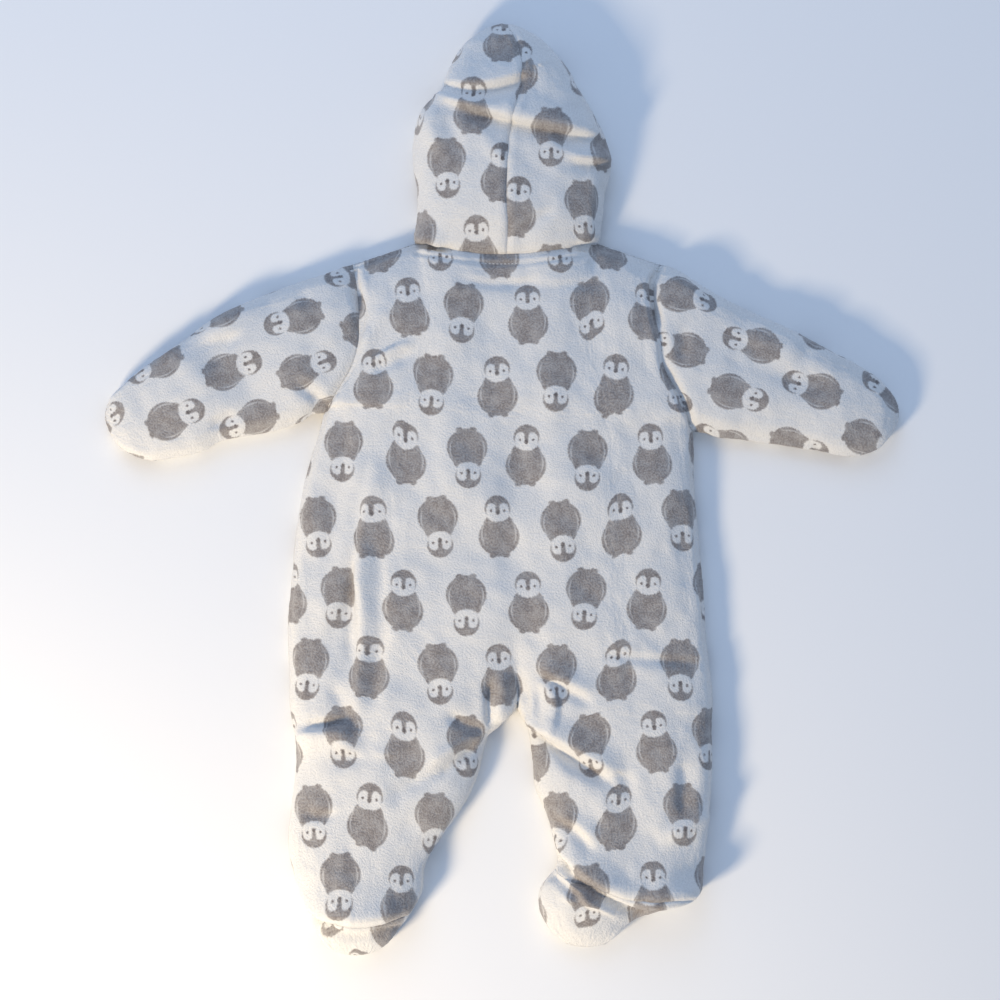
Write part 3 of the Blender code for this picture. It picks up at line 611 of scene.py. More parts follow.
# Folds of the side that shows, each through three points. height is negative for a trough, and left
# and right are its widths on either side of its line.
FOLDS = table(
    "x1 y1 x2 y2 x3 y3 height left right",
    (-43, 343, -16, 339, 21, 349, 6.5, 16, 4),  # hood: the top's bulge hangs over
    (-43, 336, -15, 331, 22, 341, -5.2, 5, 9),  # hood: below it
    (-50, 328, 9, 311, 84, 296, 6.5, 14, 4),  # hood: long fold across
    (-47, 319, 9, 303, 81, 289, -5.2, 5, 10),  # hood: below it
    (59, 276, 74, 276, 89, 279, 4.5, 8, 3.5),  # hood: fold at the right
    (58, 268, 74, 268, 89, 271, -3.9, 4, 7),  # hood: below it
    (-47, 310, -42, 295, -34, 279, -3.9, 8, 8),  # hood: left side
    (-62, 312, -59, 297, -53, 282, 3.2, 7, 7),  # hood: left ridge
    (-16, 295, -8, 282, 3, 265, 3.2, 8, 8),  # hood: soft ridge
    (16, 210, 27, 219, 41, 227, -2.6, 4, 5),  # hood: lower right crease
    (-74, 211, -62, 209, -48, 203, 3.9, 7, 3),  # hood: left base roll
    (-74, 205, -60, 203, -47, 198, -3.9, 3, 4),  # hood: left base crease
    (64, 200, 74, 200, 85, 205, -5.2, 4, 4),  # hood: right base gap
    (-250, 117, -233, 121, -216, 126, -3.2, 6, 6),  # left sleeve: crease down from the seam
    (-242, 101, -235, 111, -227, 121, -2.6, 5, 5),  # left sleeve: crease beside it
    (-169, 82, -158, 74, -146, 64, -4.2, 5, 5),  # left sleeve: underarm
    (-242, 47, -233, 52, -224, 58, -3.9, 6, 6),  # left sleeve: dent at the lower edge
    (-202, 151, -181, 156, -160, 161, -3.2, 10, 10),  # left sleeve: broad trough
    (-278, 109, -257, 97, -242, 77, 2.6, 10, 10),  # left sleeve: ridge towards the cuff
    (127, 173, 126, 156, 131, 136, -5.2, 4, 4),  # right sleeve: overlap at the armhole
    (153, 130, 152, 118, 151, 105, -2.9, 6, 6),  # right sleeve: soft, from the shoulder
    (173, 168, 177, 158, 181, 149, -2.9, 6, 6),  # right sleeve: soft, near the shoulder
    (200, 129, 237, 114, 274, 99, 2.6, 11, 9),  # right sleeve: long soft ridge
    (210, 97, 242, 87, 281, 77, -2.3, 9, 9),  # right sleeve: below it
    (-125, 166, -116, 147, -117, 126, -3.9, 6, 6),  # body: beside the left armhole
    (-97, 147, -107, 132, -118, 118, 3.1, 7, 7),  # body: soft ridge from the armhole
    (-77, 116, -92, 109, -108, 101, 3.9, 6, 4),  # body: bright fold
    (-76, 109, -91, 101, -106, 94, -3.4, 4, 6),  # body: below it
    (-33, 172, -1, 168, 32, 172, -2.6, 4, 5),  # body: across below the neck
    (9, 168, 46, 166, 86, 171, -1.8, 4, 5),  # body: across, to the right
    (16, 57, 9, -10, 4, -74, -2.3, 11, 11),  # body: soft trough down the middle
    (-103, 8, -112, -34, -113, -92, 4.0, 9, 7),  # body: long ridge on the left
    (-117, -62, -111, -118, -118, -178, 5.4, 10, 7),  # body: its lower half
    (-119, -61, -125, -103, -126, -141, -5.2, 6, 6),  # body: left of the ridge
    (-101, -61, -102, -99, -101, -128, -3.2, 7, 7),  # body: right of the ridge
    (-98, -125, -104, -157, -107, -189, -4.2, 6, 7),  # body: right of the ridge, below
    (-124, -91, -133, -111, -142, -131, -3.4, 7, 7),  # body: soft, left
    (-139, -170, -134, -181, -128, -192, -3.4, 6, 6),  # body: soft, lower left
    (-130, 52, -137, -6, -146, -66, -3.4, 9, 9),  # body: trough down the left side
    (88, -143, 130, -147, 173, -149, -2.6, 3.5, 5),  # body: faint, across on the right
    (-43, -192, -30, -200, -15, -205, -3.4, 4, 5),  # body: towards the crotch
    (-9, -165, -10, -184, -8, -204, -5.9, 4, 3.5),  # crotch: deep crease
    (4, -158, 3, -178, 2, -199, 5.9, 8, 7),  # crotch: lobe
    (16, -170, 21, -182, 19, -197, -3.2, 4, 5),  # crotch: right of the lobe
    (31, -160, 49, -170, 71, -182, -3.9, 4, 5),  # crotch: crease to the right
    (32, -152, 51, -161, 74, -172, 2.9, 9, 5),  # crotch: fold above it
    (36, -168, 42, -184, 40, -209, 3.9, 4, 7),  # crotch: upright fold
    (29, -170, 31, -184, 31, -199, -3.9, 4, 4),  # crotch: shade left of it
    (-168, -210, -146, -211, -124, -207, 5.2, 5, 9),  # left leg: roll at the outer edge
    (-161, -202, -144, -202, -129, -197, -5.2, 6, 4),  # left leg: above it
    (-139, -231, -123, -226, -107, -216, -3.4, 8, 8),  # left leg: below it
    (-137, -215, -112, -220, -87, -222, 3.1, 7, 6),  # left leg: soft step
    (-18, -217, -35, -229, -52, -241, -7.8, 4, 6),  # left leg: deep inner-knee fold
    (-16, -210, -37, -220, -57, -234, 3.9, 8, 5),  # left leg: above the fold
    (-50, -241, -68, -246, -87, -260, -3.9, 6, 7),  # left leg: its faint end
    (-162, -273, -149, -275, -136, -273, -2.9, 4, 4),  # left leg: small crease
    (-156, -353, -142, -360, -127, -357, -3.9, 4, 4),  # left leg: ankle, left
    (-154, -346, -126, -357, -82, -348, 4.2, 9, 5),  # left leg: ankle roll
    (-152, -360, -122, -371, -84, -362, -5.2, 5, 5),  # left leg: below the roll
    (24, -205, 49, -221, 88, -246, -8.5, 4, 9),  # right leg: deep crease
    (22, -193, 54, -212, 92, -235, 5.9, 13, 5),  # right leg: hanging over it
    (101, -237, 104, -251, 105, -264, -3.1, 7, 7),  # right leg: shade
    (151, -231, 150, -251, 147, -271, -4.2, 8, 7),  # right leg: hollow
    (135, -292, 152, -283, 168, -273, 3.9, 7, 7),  # right leg: light ridge
    (51, -294, 76, -323, 118, -342, 7.4, 11, 5),  # right leg: roll over the foot
    (44, -301, 70, -332, 113, -352, -8.4, 4.5, 5.5),  # right leg: below the roll
    (116, -341, 136, -341, 158, -336, 3.9, 9, 4),  # right leg: end of the roll
    (49, -273, 66, -281, 76, -294, 3.6, 6, 4),  # right leg: small fold above the roll
    (46, -279, 61, -289, 71, -301, -3.2, 3.5, 4),  # right leg: below it
    (46, -318, 61, -328, 73, -340, 4.6, 6, 4),  # right foot: fold beside the roll
    (42, -323, 56, -335, 69, -346, -4.4, 3.5, 4),  # right foot: below it
    (54, -341, 74, -344, 93, -353, 3.8, 6, 4),  # right foot: last small fold
)

# Creases of the side that it lies on, each through three points. depth is how far they go up.
UNDER_FOLDS = table(
    "x1 y1 x2 y2 x3 y3 depth width",
    (-118, 92, -92, 78, -60, 72, 2.6, 5),
    (-128, 40, -98, 34, -70, 42, 1.9, 4),
    (-140, -34, -112, -26, -78, -38, 2.2, 6),
    (-60, 24, -52, -16, -58, -58, 1.6, 5),
    (-150, -112, -118, -122, -76, -112, 2.4, 5),
    (-44, -128, -36, -150, -40, -178, 2.0, 4),
    (-148, -214, -112, -224, -70, -212, 2.3, 5),
    (-150, -268, -120, -262, -92, -272, 2.0, 4),
    (118, 96, 96, 80, 66, 76, 2.4, 5),
    (136, 22, 104, 30, 74, 22, 2.1, 5),
    (60, 8, 52, -28, 60, -66, 1.7, 5),
    (146, -70, 112, -80, 82, -70, 1.8, 4),
    (150, -138, 110, -128, 76, -140, 2.5, 6),
    (140, -196, 104, -206, 62, -196, 2.0, 5),
    (150, -256, 112, -250, 78, -262, 2.2, 4),
    (-232, 122, -226, 96, -232, 66, 2.0, 5),
    (-196, 138, -188, 112, -192, 82, 1.8, 4),
    (206, 126, 200, 98, 208, 66, 2.1, 5),
    (236, 112, 232, 90, 240, 64, 1.6, 4),
)

LINE_POINTS = 13  # points of a fold's line
FOLD_FLOOR, FOLD_FADE = 14.0, 9.0  # folds begin at this height, and are whole that much higher
FOLD_REACH, CREASE_REACH = 2.5, 3  # how many widths away from its line each is worked out
FOLD_END, CREASE_END = 0.6, 0.7  # how much of its height each loses at its ends
# An uneven ridge leans to its narrow side, by this share of its height, and no further than this
# share of its narrow width, past which the cloth would cut through itself.
FOLD_LEAN, LEAN_MOST = 0.6, 0.75
UNDER_TOP, UNDER_FACING = 4.0, -0.6  # the underside lies below this height, and faces down so far
# Waves of the unevenness: their shortest and longest, how high they are together, and how many.
WAVES = ((45, 120, 1.1, 18), (14, 34, 0.28, 40))
# The dip along seams, along the hood's centre seam, and along rows of topstitching.
SEAM_DEPTH, SEAM_WIDTH = 1.8, 3.8
HOOD_SEAM_DEPTH, HOOD_SEAM_WIDTH = 1.5, 2.4
STITCH_DEPTH, STITCH_WIDTH = 1.3, 2.2
SEAM_REACH = 4  # how many widths away from a seam its dip is worked out
SWELL, SWELL_AWAY = 0.3, 2.2  # the cloth's swell beside a seam, in depths, and how far, in widths
OUTLINE_SHARE = 0.75  # how much of a seam's depth is lost where it runs along the outline
PILE_PROUD = 2.0  # how far the pile stands out all round the outline
PILE_HEIGHT = 0.16
TUFT_OWN, TUFT_SHARED = 0.7, 0.9  # how much of a tuft is its own, and its neighbours' average
WAVE_SEED, TUFT_SEED, STITCH_SEED = 7, 3, 11
CORNER_PASSES = 3  # without these, the wall's inside comes out at the sharp corners of the toes


def line_through(a, b, c):
    """Points of the smooth line through three points."""
    t = np.linspace(0, 1, LINE_POINTS)[:, None]
    return a * (1 - t) * (1 - 2 * t) + b * 4 * t * (1 - t) + c * t * (2 * t - 1)


def nearest_on(line, places):
    """Each place's distance from a line, positive on its left, and the line's run and direction
    where the place is nearest to it."""
    starts, steps = line[:-1], np.diff(line, axis=0)
    lengths = np.linalg.norm(steps, axis=1)
    away = places[:, None] - starts
    t = np.clip((away * steps).sum(2) / lengths**2, 0, 1)
    off = away - t[..., None] * steps
    far = np.linalg.norm(off, axis=2)
    best = far.argmin(axis=1)
    pick = np.arange(len(places))
    step = steps[best] / lengths[best, None]
    side = np.sign(step[:, 0] * off[pick, best, 1] - step[:, 1] * off[pick, best, 0])
    before = np.concatenate([[0], np.cumsum(lengths)])[best]
    run = (before + t[pick, best] * lengths[best]) / lengths.sum()
    return side * far[pick, best], run, step


def upper_share(skin):
    """0 at the seams and on the underside, rising to 1 on the side that shows."""
    return np.clip((skin.points[:, 2] - FOLD_FLOOR) / FOLD_FADE, 0, 1)


def press_folds(skin):
    """Presses the folds into the upper side, fading out towards the seams at its edge."""
    normals = skin.normals()
    share = upper_share(skin)
    share = share * share * (3 - 2 * share)
    moves = np.zeros_like(skin.points)
    plan = skin.points[:, :2]
    for x1, y1, x2, y2, x3, y3, height, left, right in zip(*FOLDS.values()):
        lean = 0
        if height > 0 and left != right:
            lean = min(FOLD_LEAN * height, LEAN_MOST * min(left, right))
        line = line_through(*np.array([[x1, y1], [x2, y2], [x3, y3]]))
        reach = FOLD_REACH * max(left, right)
        near = ((plan > line.min(0) - reach) & (plan < line.max(0) + reach)).all(1) & (share > 0)
        near = np.flatnonzero(near)
        if not len(near):
            continue
        off, run, step = nearest_on(line, plan[near])
        width = np.where(off > 0, left, right)
        shape = np.exp(-((off / width) ** 2)) * (1 - FOLD_END * (2 * run - 1) ** 4) * share[near]
        moves[near] += (height * shape)[:, None] * normals[near]
        across = np.stack([step[:, 1], -step[:, 0], np.zeros(len(near))], 1)
        narrow = 1 if right < left else -1
        moves[near] += (narrow * lean * shape)[:, None] * across
    skin.points += moves


def press_unevenness(skin):
    """Soft unevenness of cloth that nothing fills: waves of many lengths and directions."""
    share = upper_share(skin)
    random = np.random.default_rng(WAVE_SEED)
    lift = np.zeros(len(skin.points))
    for shortest, longest, height, count in WAVES:
        for _ in range(count):
            turn, phase = random.uniform(0, math.tau, 2)
            wave = math.tau / random.uniform(shortest, longest)
            along = skin.points[:, 0] * math.cos(turn) + skin.points[:, 1] * math.sin(turn)
            lift += height / math.sqrt(count / 2) * np.sin(along * wave + phase)
    skin.points[:, 2] += lift * share


def press_underside(skin):
    """Presses shallow creases up into the side that it lies on."""
    low = (skin.normals()[:, 2] < UNDER_FACING) & (skin.points[:, 2] < UNDER_TOP)
    plan = skin.points[:, :2]
    for x1, y1, x2, y2, x3, y3, depth, width in zip(*UNDER_FOLDS.values()):
        line = line_through(*np.array([[x1, y1], [x2, y2], [x3, y3]]))
        reach = np.ptp(line, axis=0) + CREASE_REACH * width
        near = np.flatnonzero(low & (np.abs(plan - (x2, y2)) < reach).all(1))
        if len(near):
            off, run, _ = nearest_on(line, plan[near])
            shape = np.exp(-((off / width) ** 2)) * (1 - CREASE_END * (2 * run - 1) ** 4)
            skin.points[near, 2] += depth * shape


def press_seams(skin, stitched):
    """Draws the skin in along the seams and the topstitching, with a swell beside them."""
    normals = skin.normals(CORNER_PASSES)
    # 1 where the skin faces sideways, from a normal of 0.3 upwards, and 0 where it has 0.8 or more.
    sideways = np.clip(1.6 - 2 * np.abs(normals[:, 2]), 0, 1)
    sewn = np.zeros(len(skin.points), bool)
    sewn[np.concatenate(stitched)] = True
    uses = np.zeros(len(skin.points), int)
    owner = {}
    for name, quads in skin.quads.items():
        mine = np.unique(quads)
        uses[mine] += 1
        owner[name] = np.isin(np.arange(len(skin.points)), mine)
    hood = owner["hood_left"] & owner["hood_right"]
    for marked, depth, width in (((uses > 1) & ~hood, SEAM_DEPTH, SEAM_WIDTH),
                                 (hood, HOOD_SEAM_DEPTH, HOOD_SEAM_WIDTH),
                                 (sewn, STITCH_DEPTH, STITCH_WIDTH)):
        distance = skin.from_points(marked, SEAM_REACH * width)
        dip = depth * np.exp(-((distance / width) ** 2)) * (1 - OUTLINE_SHARE * sideways)
        swell = SWELL * depth * np.exp(-(((distance - SWELL_AWAY * width) / width) ** 2))
        skin.points -= (dip - swell)[:, None] * normals
    skin.points[:, :2] += (PILE_PROUD * sideways)[:, None] * normals[:, :2]


def press_pile(skin):
    """The plush pile: small uneven tufts over the outside."""
    tufts = np.random.default_rng(TUFT_SEED).normal(0, 1, len(skin.points))
    tufts = TUFT_OWN * tufts + TUFT_SHARED * skin.average(tufts)
    skin.points += (PILE_HEIGHT * tufts)[:, None] * skin.normals()


# ---------------------------------------------------------------- sewn pieces

HEM_ROUND = 1.2  # how far a hem's edge stands out in the middle of the wall
PRINT_SHIFT = {  # where each piece's cut lies on the printed cloth, across and down
    "back": (3, 8), "front_left": (17, 31), "front_right": (-9, 12), "hood_left": (21, 5),
    "hood_right": (8, 34), "sleeve_left": (5, 12), "sleeve_right": (14, 41), "mitt_left": (9, 22),
    "mitt_right": (27, 3), "foot_left": (2, 15), "foot_right": (19, 7), "sole_left": (11, 27),
    "sole_right": (6, 17),
}


def rim_of(quads):
    """The directed edges that only one of these faces has."""
    edges = np.concatenate([quads[:, [k, (k + 1) % 4]] for k in range(4)])
    most = quads.max() + 1
    ahead, back = edges[:, 0] * most + edges[:, 1], edges[:, 1] * most + edges[:, 0]
    return edges[~np.isin(ahead, back)]


def cloth_mesh(skin, name, inner_points):
    """A piece of the skin as a closed wall: outside, inside and the rim between them."""
    quads, flats = skin.quads[name], skin.flats[name] + np.array(PRINT_SHIFT[name])
    kept, quads = np.unique(quads, return_inverse=True)
    quads = quads.reshape(-1, 4)
    outer, inner = skin.points[kept], inner_points[kept]
    rim = rim_of(quads)
    edge, place = np.unique(rim, return_inverse=True)
    place = place.reshape(-1, 2)
    away = np.zeros((len(edge), 3))
    thick = outer[edge] - inner[edge]
    outwards = np.cross(outer[rim[:, 1]] - outer[rim[:, 0]], thick[place[:, 0]])
    for end in place.T:
        np.add.at(away, end, outwards)
    away /= np.linalg.norm(away, axis=1)[:, None] + 1e-9
    hem = skin.hem[kept][edge][:, None]
    middle = (outer[edge] + inner[edge]) / 2 + hem * HEM_ROUND * away
    count = len(kept)
    points = np.concatenate([outer, inner, middle])
    a, b = rim.T
    mid_a, mid_b = 2 * count + place.T
    faces = np.concatenate([
        quads,
        quads[:, ::-1] + count,
        np.stack([b, a, mid_a, mid_b], 1),
        np.stack([mid_b, mid_a, a + count, b + count], 1),
    ])
    spot = np.zeros((count, 2))
    spot[quads.reshape(-1)] = flats.reshape(-1, 2)
    rim_spots = np.stack([spot[b], spot[a], spot[a], spot[b]], 1)
    spots = np.concatenate([flats, flats[:, ::-1], rim_spots, rim_spots])

    mesh = bpy.data.meshes.new(name)
    mesh.from_pydata(((points - MIDDLE) * MM).tolist(), [], faces.tolist())
    cut = mesh.uv_layers.new(name="cut")
    cut.uv.foreach_set("vector", (spots * MM).astype(np.float32).reshape(-1))
    inside = np.zeros(len(faces), np.int32)
    inside[len(quads) : 2 * len(quads)] = 1
    inside[2 * len(quads) + len(rim) :] = 1
    mesh.polygons.foreach_set("material_index", inside)
    mesh.shade_smooth()
    mesh.update()
    return mesh


def in_scene(name, data):
    """A new object of this data, in the scene."""
    made = bpy.data.objects.new(name, data)
    bpy.context.scene.collection.objects.link(made)
    return made


def make_piece(name, mesh, node, slot, *materials):
    """The finished piece, riding on its body in place of its CAD node, where it has one."""
    piece = in_scene(name, mesh)
    for material in materials:
        if material.name not in mesh.materials:
            mesh.materials.append(material)
    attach(piece, "pull" if node == "zip_pull" else "suit")
    if node:
        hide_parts(node)
    return piece


SLOTS = {"hood": "plush_hood", "foot": "plush_sole", "sole": "plush_sole"}  # plush for the others


def sewn_pieces(skin, inner_points, fleece, backing):
    for name in skin.quads:
        slot = SLOTS.get(name.split("_")[0], "plush")
        mesh = cloth_mesh(skin, name, inner_points)
        piece = make_piece(name + "_cloth", mesh, name, slot, fleece, backing)


# ---------------------------------------------------------------- stitches and zip

STITCH_PITCH, STITCH_LENGTH, STITCH_RADIUS = 3.2, 2.3, 0.36
STITCH_RINGS, STITCH_SIDES = (45, 90, 135), 6  # its rings' angles from its end, and their points
STITCH_UNEVENNESS = 0.2  # how much smaller the shortest stitch is
STITCH_PROUD = 0.04  # how far a stitch's middle stands out of the pile, which half buries it
BEAD_RADIUS, BEAD_IN = 0.75, 0.45  # the bead that the teeth are moulded on, and its middle's inset
BEAD_ARC, BEAD_POINTS = (35, 325), 12  # its round, in degrees, open where the tape's band begins
BAND_START, BAND_POINTS = 1.2, 8  # the band begins this many radii from the bead's middle
TAPE_RINGS = 67
TOOTH_PITCH, TOOTH_THICK, TOOTH_CHAMFER = 2.6, 2.4, 0.2
# Half a tooth's plan: how far from the zip's middle, and half its length along the zip. The head
# reaches past the middle, between two of the other side's, and the foot grips the bead.
TOOTH_PLAN = (
    (-0.60, 0.18), (-0.35, 0.46), (0.2, 0.58), (0.8, 0.38), (1.3, 0.38), (1.8, 0.72), (3.5, 0.72)
)
TOOTH_MIDDLE = (1.5, 0)  # a tooth's top and bottom are chamfered in towards this place
EDGE_ROUND = 0.25  # how much the slider's and pull tab's edges are rounded
SAME_POINT = 0.001  # points no further apart than this are one
# Degrees. Faces that differ by less are one, and outer edges that are sharper are rounded.
SAME_FACE, SHARP_EDGE = 1, 40


def repeat_along_path():
    """A tree that sets a shape at even steps along a path, each turned to follow it."""
    tree = bpy.data.node_groups.new("repeat_along_path", "GeometryNodeTree")
    for name, kind in (
        ("Path", "Geometry"), ("Shape", "Object"), ("Pitch", "Float"),
        ("Unevenness", "Float"), ("Seed", "Int"), ("Finish", "Material"),
    ):
        tree.interface.new_socket(name, in_out="INPUT", socket_type="NodeSocket" + kind)
    tree.interface.new_socket("Geometry", in_out="OUTPUT", socket_type="NodeSocketGeometry")
    given = tree.nodes.new("NodeGroupInput").outputs
    path = add(tree, "GeometryNodeMeshToCurve", {"Mesh": given["Path"]})
    steps = add(
        tree, "GeometryNodeCurveToPoints", {"Curve": path, "Length": given["Pitch"]}, mode="LENGTH"
    ).node
    shape = add(tree, "GeometryNodeObjectInfo", {"Object": given["Shape"]}).node
    turn = add(
        tree, "FunctionNodeAlignRotationToVector", {"Vector": steps.outputs["Tangent"]}, axis="Y"
    )
    least = maths(tree, "SUBTRACT", 1.0, given["Unevenness"])
    chance = add(tree, "FunctionNodeRandomValue", {"Seed": given["Seed"]}, data_type="FLOAT").node
    by_kind = {(socket.name, socket.type): socket for socket in chance.inputs}
    tree.links.new(least, by_kind["Min", "VALUE"])
    by_kind["Max", "VALUE"].default_value = 1.0
    size = next(out for out in chance.outputs if out.type == "VALUE")
    placed = add(
        tree, "GeometryNodeInstanceOnPoints",
        {"Points": steps.outputs["Points"], "Instance": shape.outputs["Geometry"],
         "Rotation": turn, "Scale": size},
    )
    whole = add(tree, "GeometryNodeRealizeInstances", {"Geometry": placed})
    whole = add(tree, "GeometryNodeSetMaterial", {"Geometry": whole, "Material": given["Finish"]})
    add(tree, "NodeGroupOutput", {"Geometry": whole})
    return tree


def made_along(name, tree, runs, shape, pitch, unevenness, finish):
    """The mesh of a shape repeated along each run of points, which are in metres."""
    points = np.concatenate(runs)
    ends = np.cumsum([len(run) for run in runs])
    edges = [(k, k + 1) for k in range(len(points) - 1) if k + 1 not in ends]
    path = bpy.data.meshes.new(name + "_path")
    path.from_pydata(points.tolist(), edges, [])
    maker = in_scene(name + "_path", path)
    modifier = maker.modifiers.new("repeat", "NODES")
    modifier.node_group = tree
    values = {
        "Shape": shape, "Pitch": pitch, "Unevenness": unevenness, "Seed": STITCH_SEED,
        "Finish": finish,
    }
    for item in tree.interface.items_tree:
        if item.in_out == "INPUT" and item.name in values:
            modifier[item.identifier] = values[item.name]
    bpy.context.view_layer.update()
    graph = bpy.context.evaluated_depsgraph_get()
    mesh = bpy.data.meshes.new_from_object(maker.evaluated_get(graph), depsgraph=graph)
    mesh.name = name
    maker.modifiers.remove(modifier)
    bpy.data.objects.remove(maker)
    bpy.data.meshes.remove(path)
    bpy.data.meshes.remove(shape.data)  # and the shape's object with it
    return mesh


def closed_mesh(name, build):
    """The mesh of a finished build, its faces outwards."""
    bmesh.ops.recalc_face_normals(build, faces=build.faces)
    mesh = bpy.data.meshes.new(name)
    build.to_mesh(mesh)
    build.free()
    return mesh


def rings_into(build, rings):
    """Joins rings of points, in metres, into a closed form with a face at each end."""
    rings = [[build.verts.new(place) for place in ring] for ring in rings]
    for one, other in zip(rings, rings[1:]):
        for k in range(len(one)):
            build.faces.new((one[k], one[k - 1], other[k - 1], other[k]))
    build.faces.new(rings[0])
    build.faces.new(rings[-1][::-1])


def stitch_shape():
    """One stitch of thread, pulled thin where it goes into the cloth at its ends. It is built from
    its own rings, because a ready-made sphere's faces come in another order in each run."""
    build = bmesh.new()
    half = STITCH_LENGTH / 2
    start, end = (build.verts.new((0, y * MM, 0)) for y in (half, -half))
    rings = []
    for angle in np.radians(STITCH_RINGS):
        y, radius = half * math.cos(angle), STITCH_RADIUS * math.sin(angle)
        rings.append([
            build.verts.new((radius * math.sin(turn) * MM, y * MM, radius * math.cos(turn) * MM))
            for turn in np.arange(STITCH_SIDES) * math.tau / STITCH_SIDES
        ])
    for k in range(STITCH_SIDES):
        build.faces.new((start, rings[0][k], rings[0][k - 1]))
        for one, other in zip(rings, rings[1:]):
            build.faces.new((one[k - 1], one[k], other[k], other[k - 1]))
        build.faces.new((end, rings[-1][k - 1], rings[-1][k]))
    mesh = closed_mesh("stitch", build)
    mesh.shade_smooth()
    return bpy.data.objects.new("stitch", mesh)


def tooth_pair():
    """Two moulded teeth, one of each side, half a pitch apart."""
    build = bmesh.new()
    plan = np.array([*TOOTH_PLAN, *[(x, -y) for x, y in TOOTH_PLAN[::-1]]])
    small = plan - TOOTH_CHAMFER * np.sign(plan - TOOTH_MIDDLE)
    half = TOOTH_THICK / 2
    for side in (-1, 1):
        rings = []
        for height, ring in ((-half, small), (TOOTH_CHAMFER - half, plan),
                             (half - TOOTH_CHAMFER, plan), (half, small)):
            x, y = side * ring[:, 0], ring[:, 1] + side * TOOTH_PITCH / 4
            rings.append((np.stack([x, y, np.full(len(x), height)], 1) * MM).tolist())
        rings_into(build, rings)
    return bpy.data.objects.new("tooth_pair", closed_mesh("tooth_pair", build))


def tape_mesh(side):
    """A zip tape: a flat woven band with a bead along its inner edge."""
    low, high = (np.array(corner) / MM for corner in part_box("zip_tape_" + side))
    inner, sign = (low[0], 1) if side == "right" else (high[0], -1)
    half = (high[2] - low[2]) / 2
    bead = [
        (BEAD_IN + BEAD_RADIUS * math.cos(turn), BEAD_RADIUS * math.sin(turn))
        for turn in np.radians(np.linspace(*BEAD_ARC, BEAD_POINTS))
    ]
    band = np.linspace(BEAD_IN + BAND_START * BEAD_RADIUS, high[0] - low[0], BAND_POINTS)
    profile = np.array(bead + [(x, -half) for x in band] + [(x, half) for x in band[::-1]])
    x, z = inner + sign * profile[:, 0], (low[2] + high[2]) / 2 + profile[:, 1]
    build = bmesh.new()
    rings_into(build, [
        (np.stack([x, np.full(len(x), y), z], 1) * MM).tolist()
        for y in np.linspace(low[1], high[1], TAPE_RINGS)
    ])
    return closed_mesh("tape_" + side, build)


def rounded_copy(node):
    """A copy of a hard CAD node with its outer edges rounded."""
    build = bmesh.new()
    build.from_mesh(bpy.data.objects[node].data)
    bmesh.ops.remove_doubles(build, verts=build.verts, dist=SAME_POINT * MM)
    bmesh.ops.dissolve_limit(
        build, angle_limit=math.radians(SAME_FACE), verts=build.verts, edges=build.edges
    )
    bmesh.ops.recalc_face_normals(build, faces=build.faces)
    build.normal_update()
    sharp = math.radians(SHARP_EDGE)
    outer = [edge for edge in build.edges if edge.is_convex and edge.calc_face_angle() > sharp]
    bmesh.ops.bevel(
        build, geom=outer, offset=EDGE_ROUND * MM, segments=2, profile=0.5, affect="EDGES",
        clamp_overlap=True,
    )
    return closed_mesh(node + "_copy", build)


def zip_pieces(tree, tape, plastic, metal):
    for side in ("left", "right"):
        piece = make_piece("tape_" + side, tape_mesh(side), "zip_tape_" + side, "zip_tape", tape)
        low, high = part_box("zip_tape_" + side)
    low, high = (np.array(corner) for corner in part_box("zip_chain"))
    line = np.array([(low + high) / 2] * 2)
    line[:, 1] = low[1] + TOOTH_PITCH / 2 * MM, high[1] - TOOTH_PITCH / 2 * MM
    teeth = made_along("zip_teeth", tree, [line], tooth_pair(), TOOTH_PITCH * MM, 0.0, plastic)
    make_piece("zip_teeth", teeth, "zip_chain", "zip_plastic", plastic)
    for name, node in (("slider", "zip_slider"), ("pull_tab", "zip_pull")):
        make_piece(name, rounded_copy(node), node, "zip_metal", metal)


def stitches(skin, stitched, tree, thread):
    proud = skin.points + STITCH_PROUD * skin.normals()
    runs = [(proud[row] - MIDDLE) * MM for row in stitched]
    mesh = made_along(
        "stitches", tree, runs, stitch_shape(), STITCH_PITCH * MM, STITCH_UNEVENNESS, thread
    )
    make_piece("topstitching", mesh, None, "plush")


# ---------------------------------------------------------------- materials


def colour(code):
    """Linear colour of an sRGB hex code."""
    parts = [int(code[k : k + 2], 16) / 255 for k in (1, 3, 5)]
    return (*[c / 12.92 if c <= 0.04045 else ((c + 0.055) / 1.055) ** 2.4 for c in parts], 1)


def add(tree, kind, sockets=None, **settings):
    """Adds a node. sockets holds a value or a linked output for each of its inputs."""
    node = tree.nodes.new(kind)
    for name, value in settings.items():
        setattr(node, name, value)
    for name, value in (sockets or {}).items():
        if isinstance(value, bpy.types.NodeSocket):
            tree.links.new(value, node.inputs[name])
        else:
            node.inputs[name].default_value = value
    return node.outputs[0] if node.outputs else node


def maths(tree, operation, *values):
    """A number worked out of others."""
    return add(tree, "ShaderNodeMath", dict(enumerate(values)), operation=operation)


def vectors(tree, operation, *values):
    """A vector worked out of others."""
    return add(tree, "ShaderNodeVectorMath", dict(enumerate(values)), operation=operation)


def joined(tree, x, y):
    """The flat place at x and y."""
    return add(tree, "ShaderNodeCombineXYZ", {0: x, 1: y})


def parted(tree, place):
    """A place's x, y and z."""
    return add(tree, "ShaderNodeSeparateXYZ", {0: place}).node.outputs


def turned(tree, place, angle):
    """A place turned round the z axis."""
    return add(
        tree, "ShaderNodeVectorRotate", {"Vector": place, "Angle": angle}, rotation_type="Z_AXIS"
    )


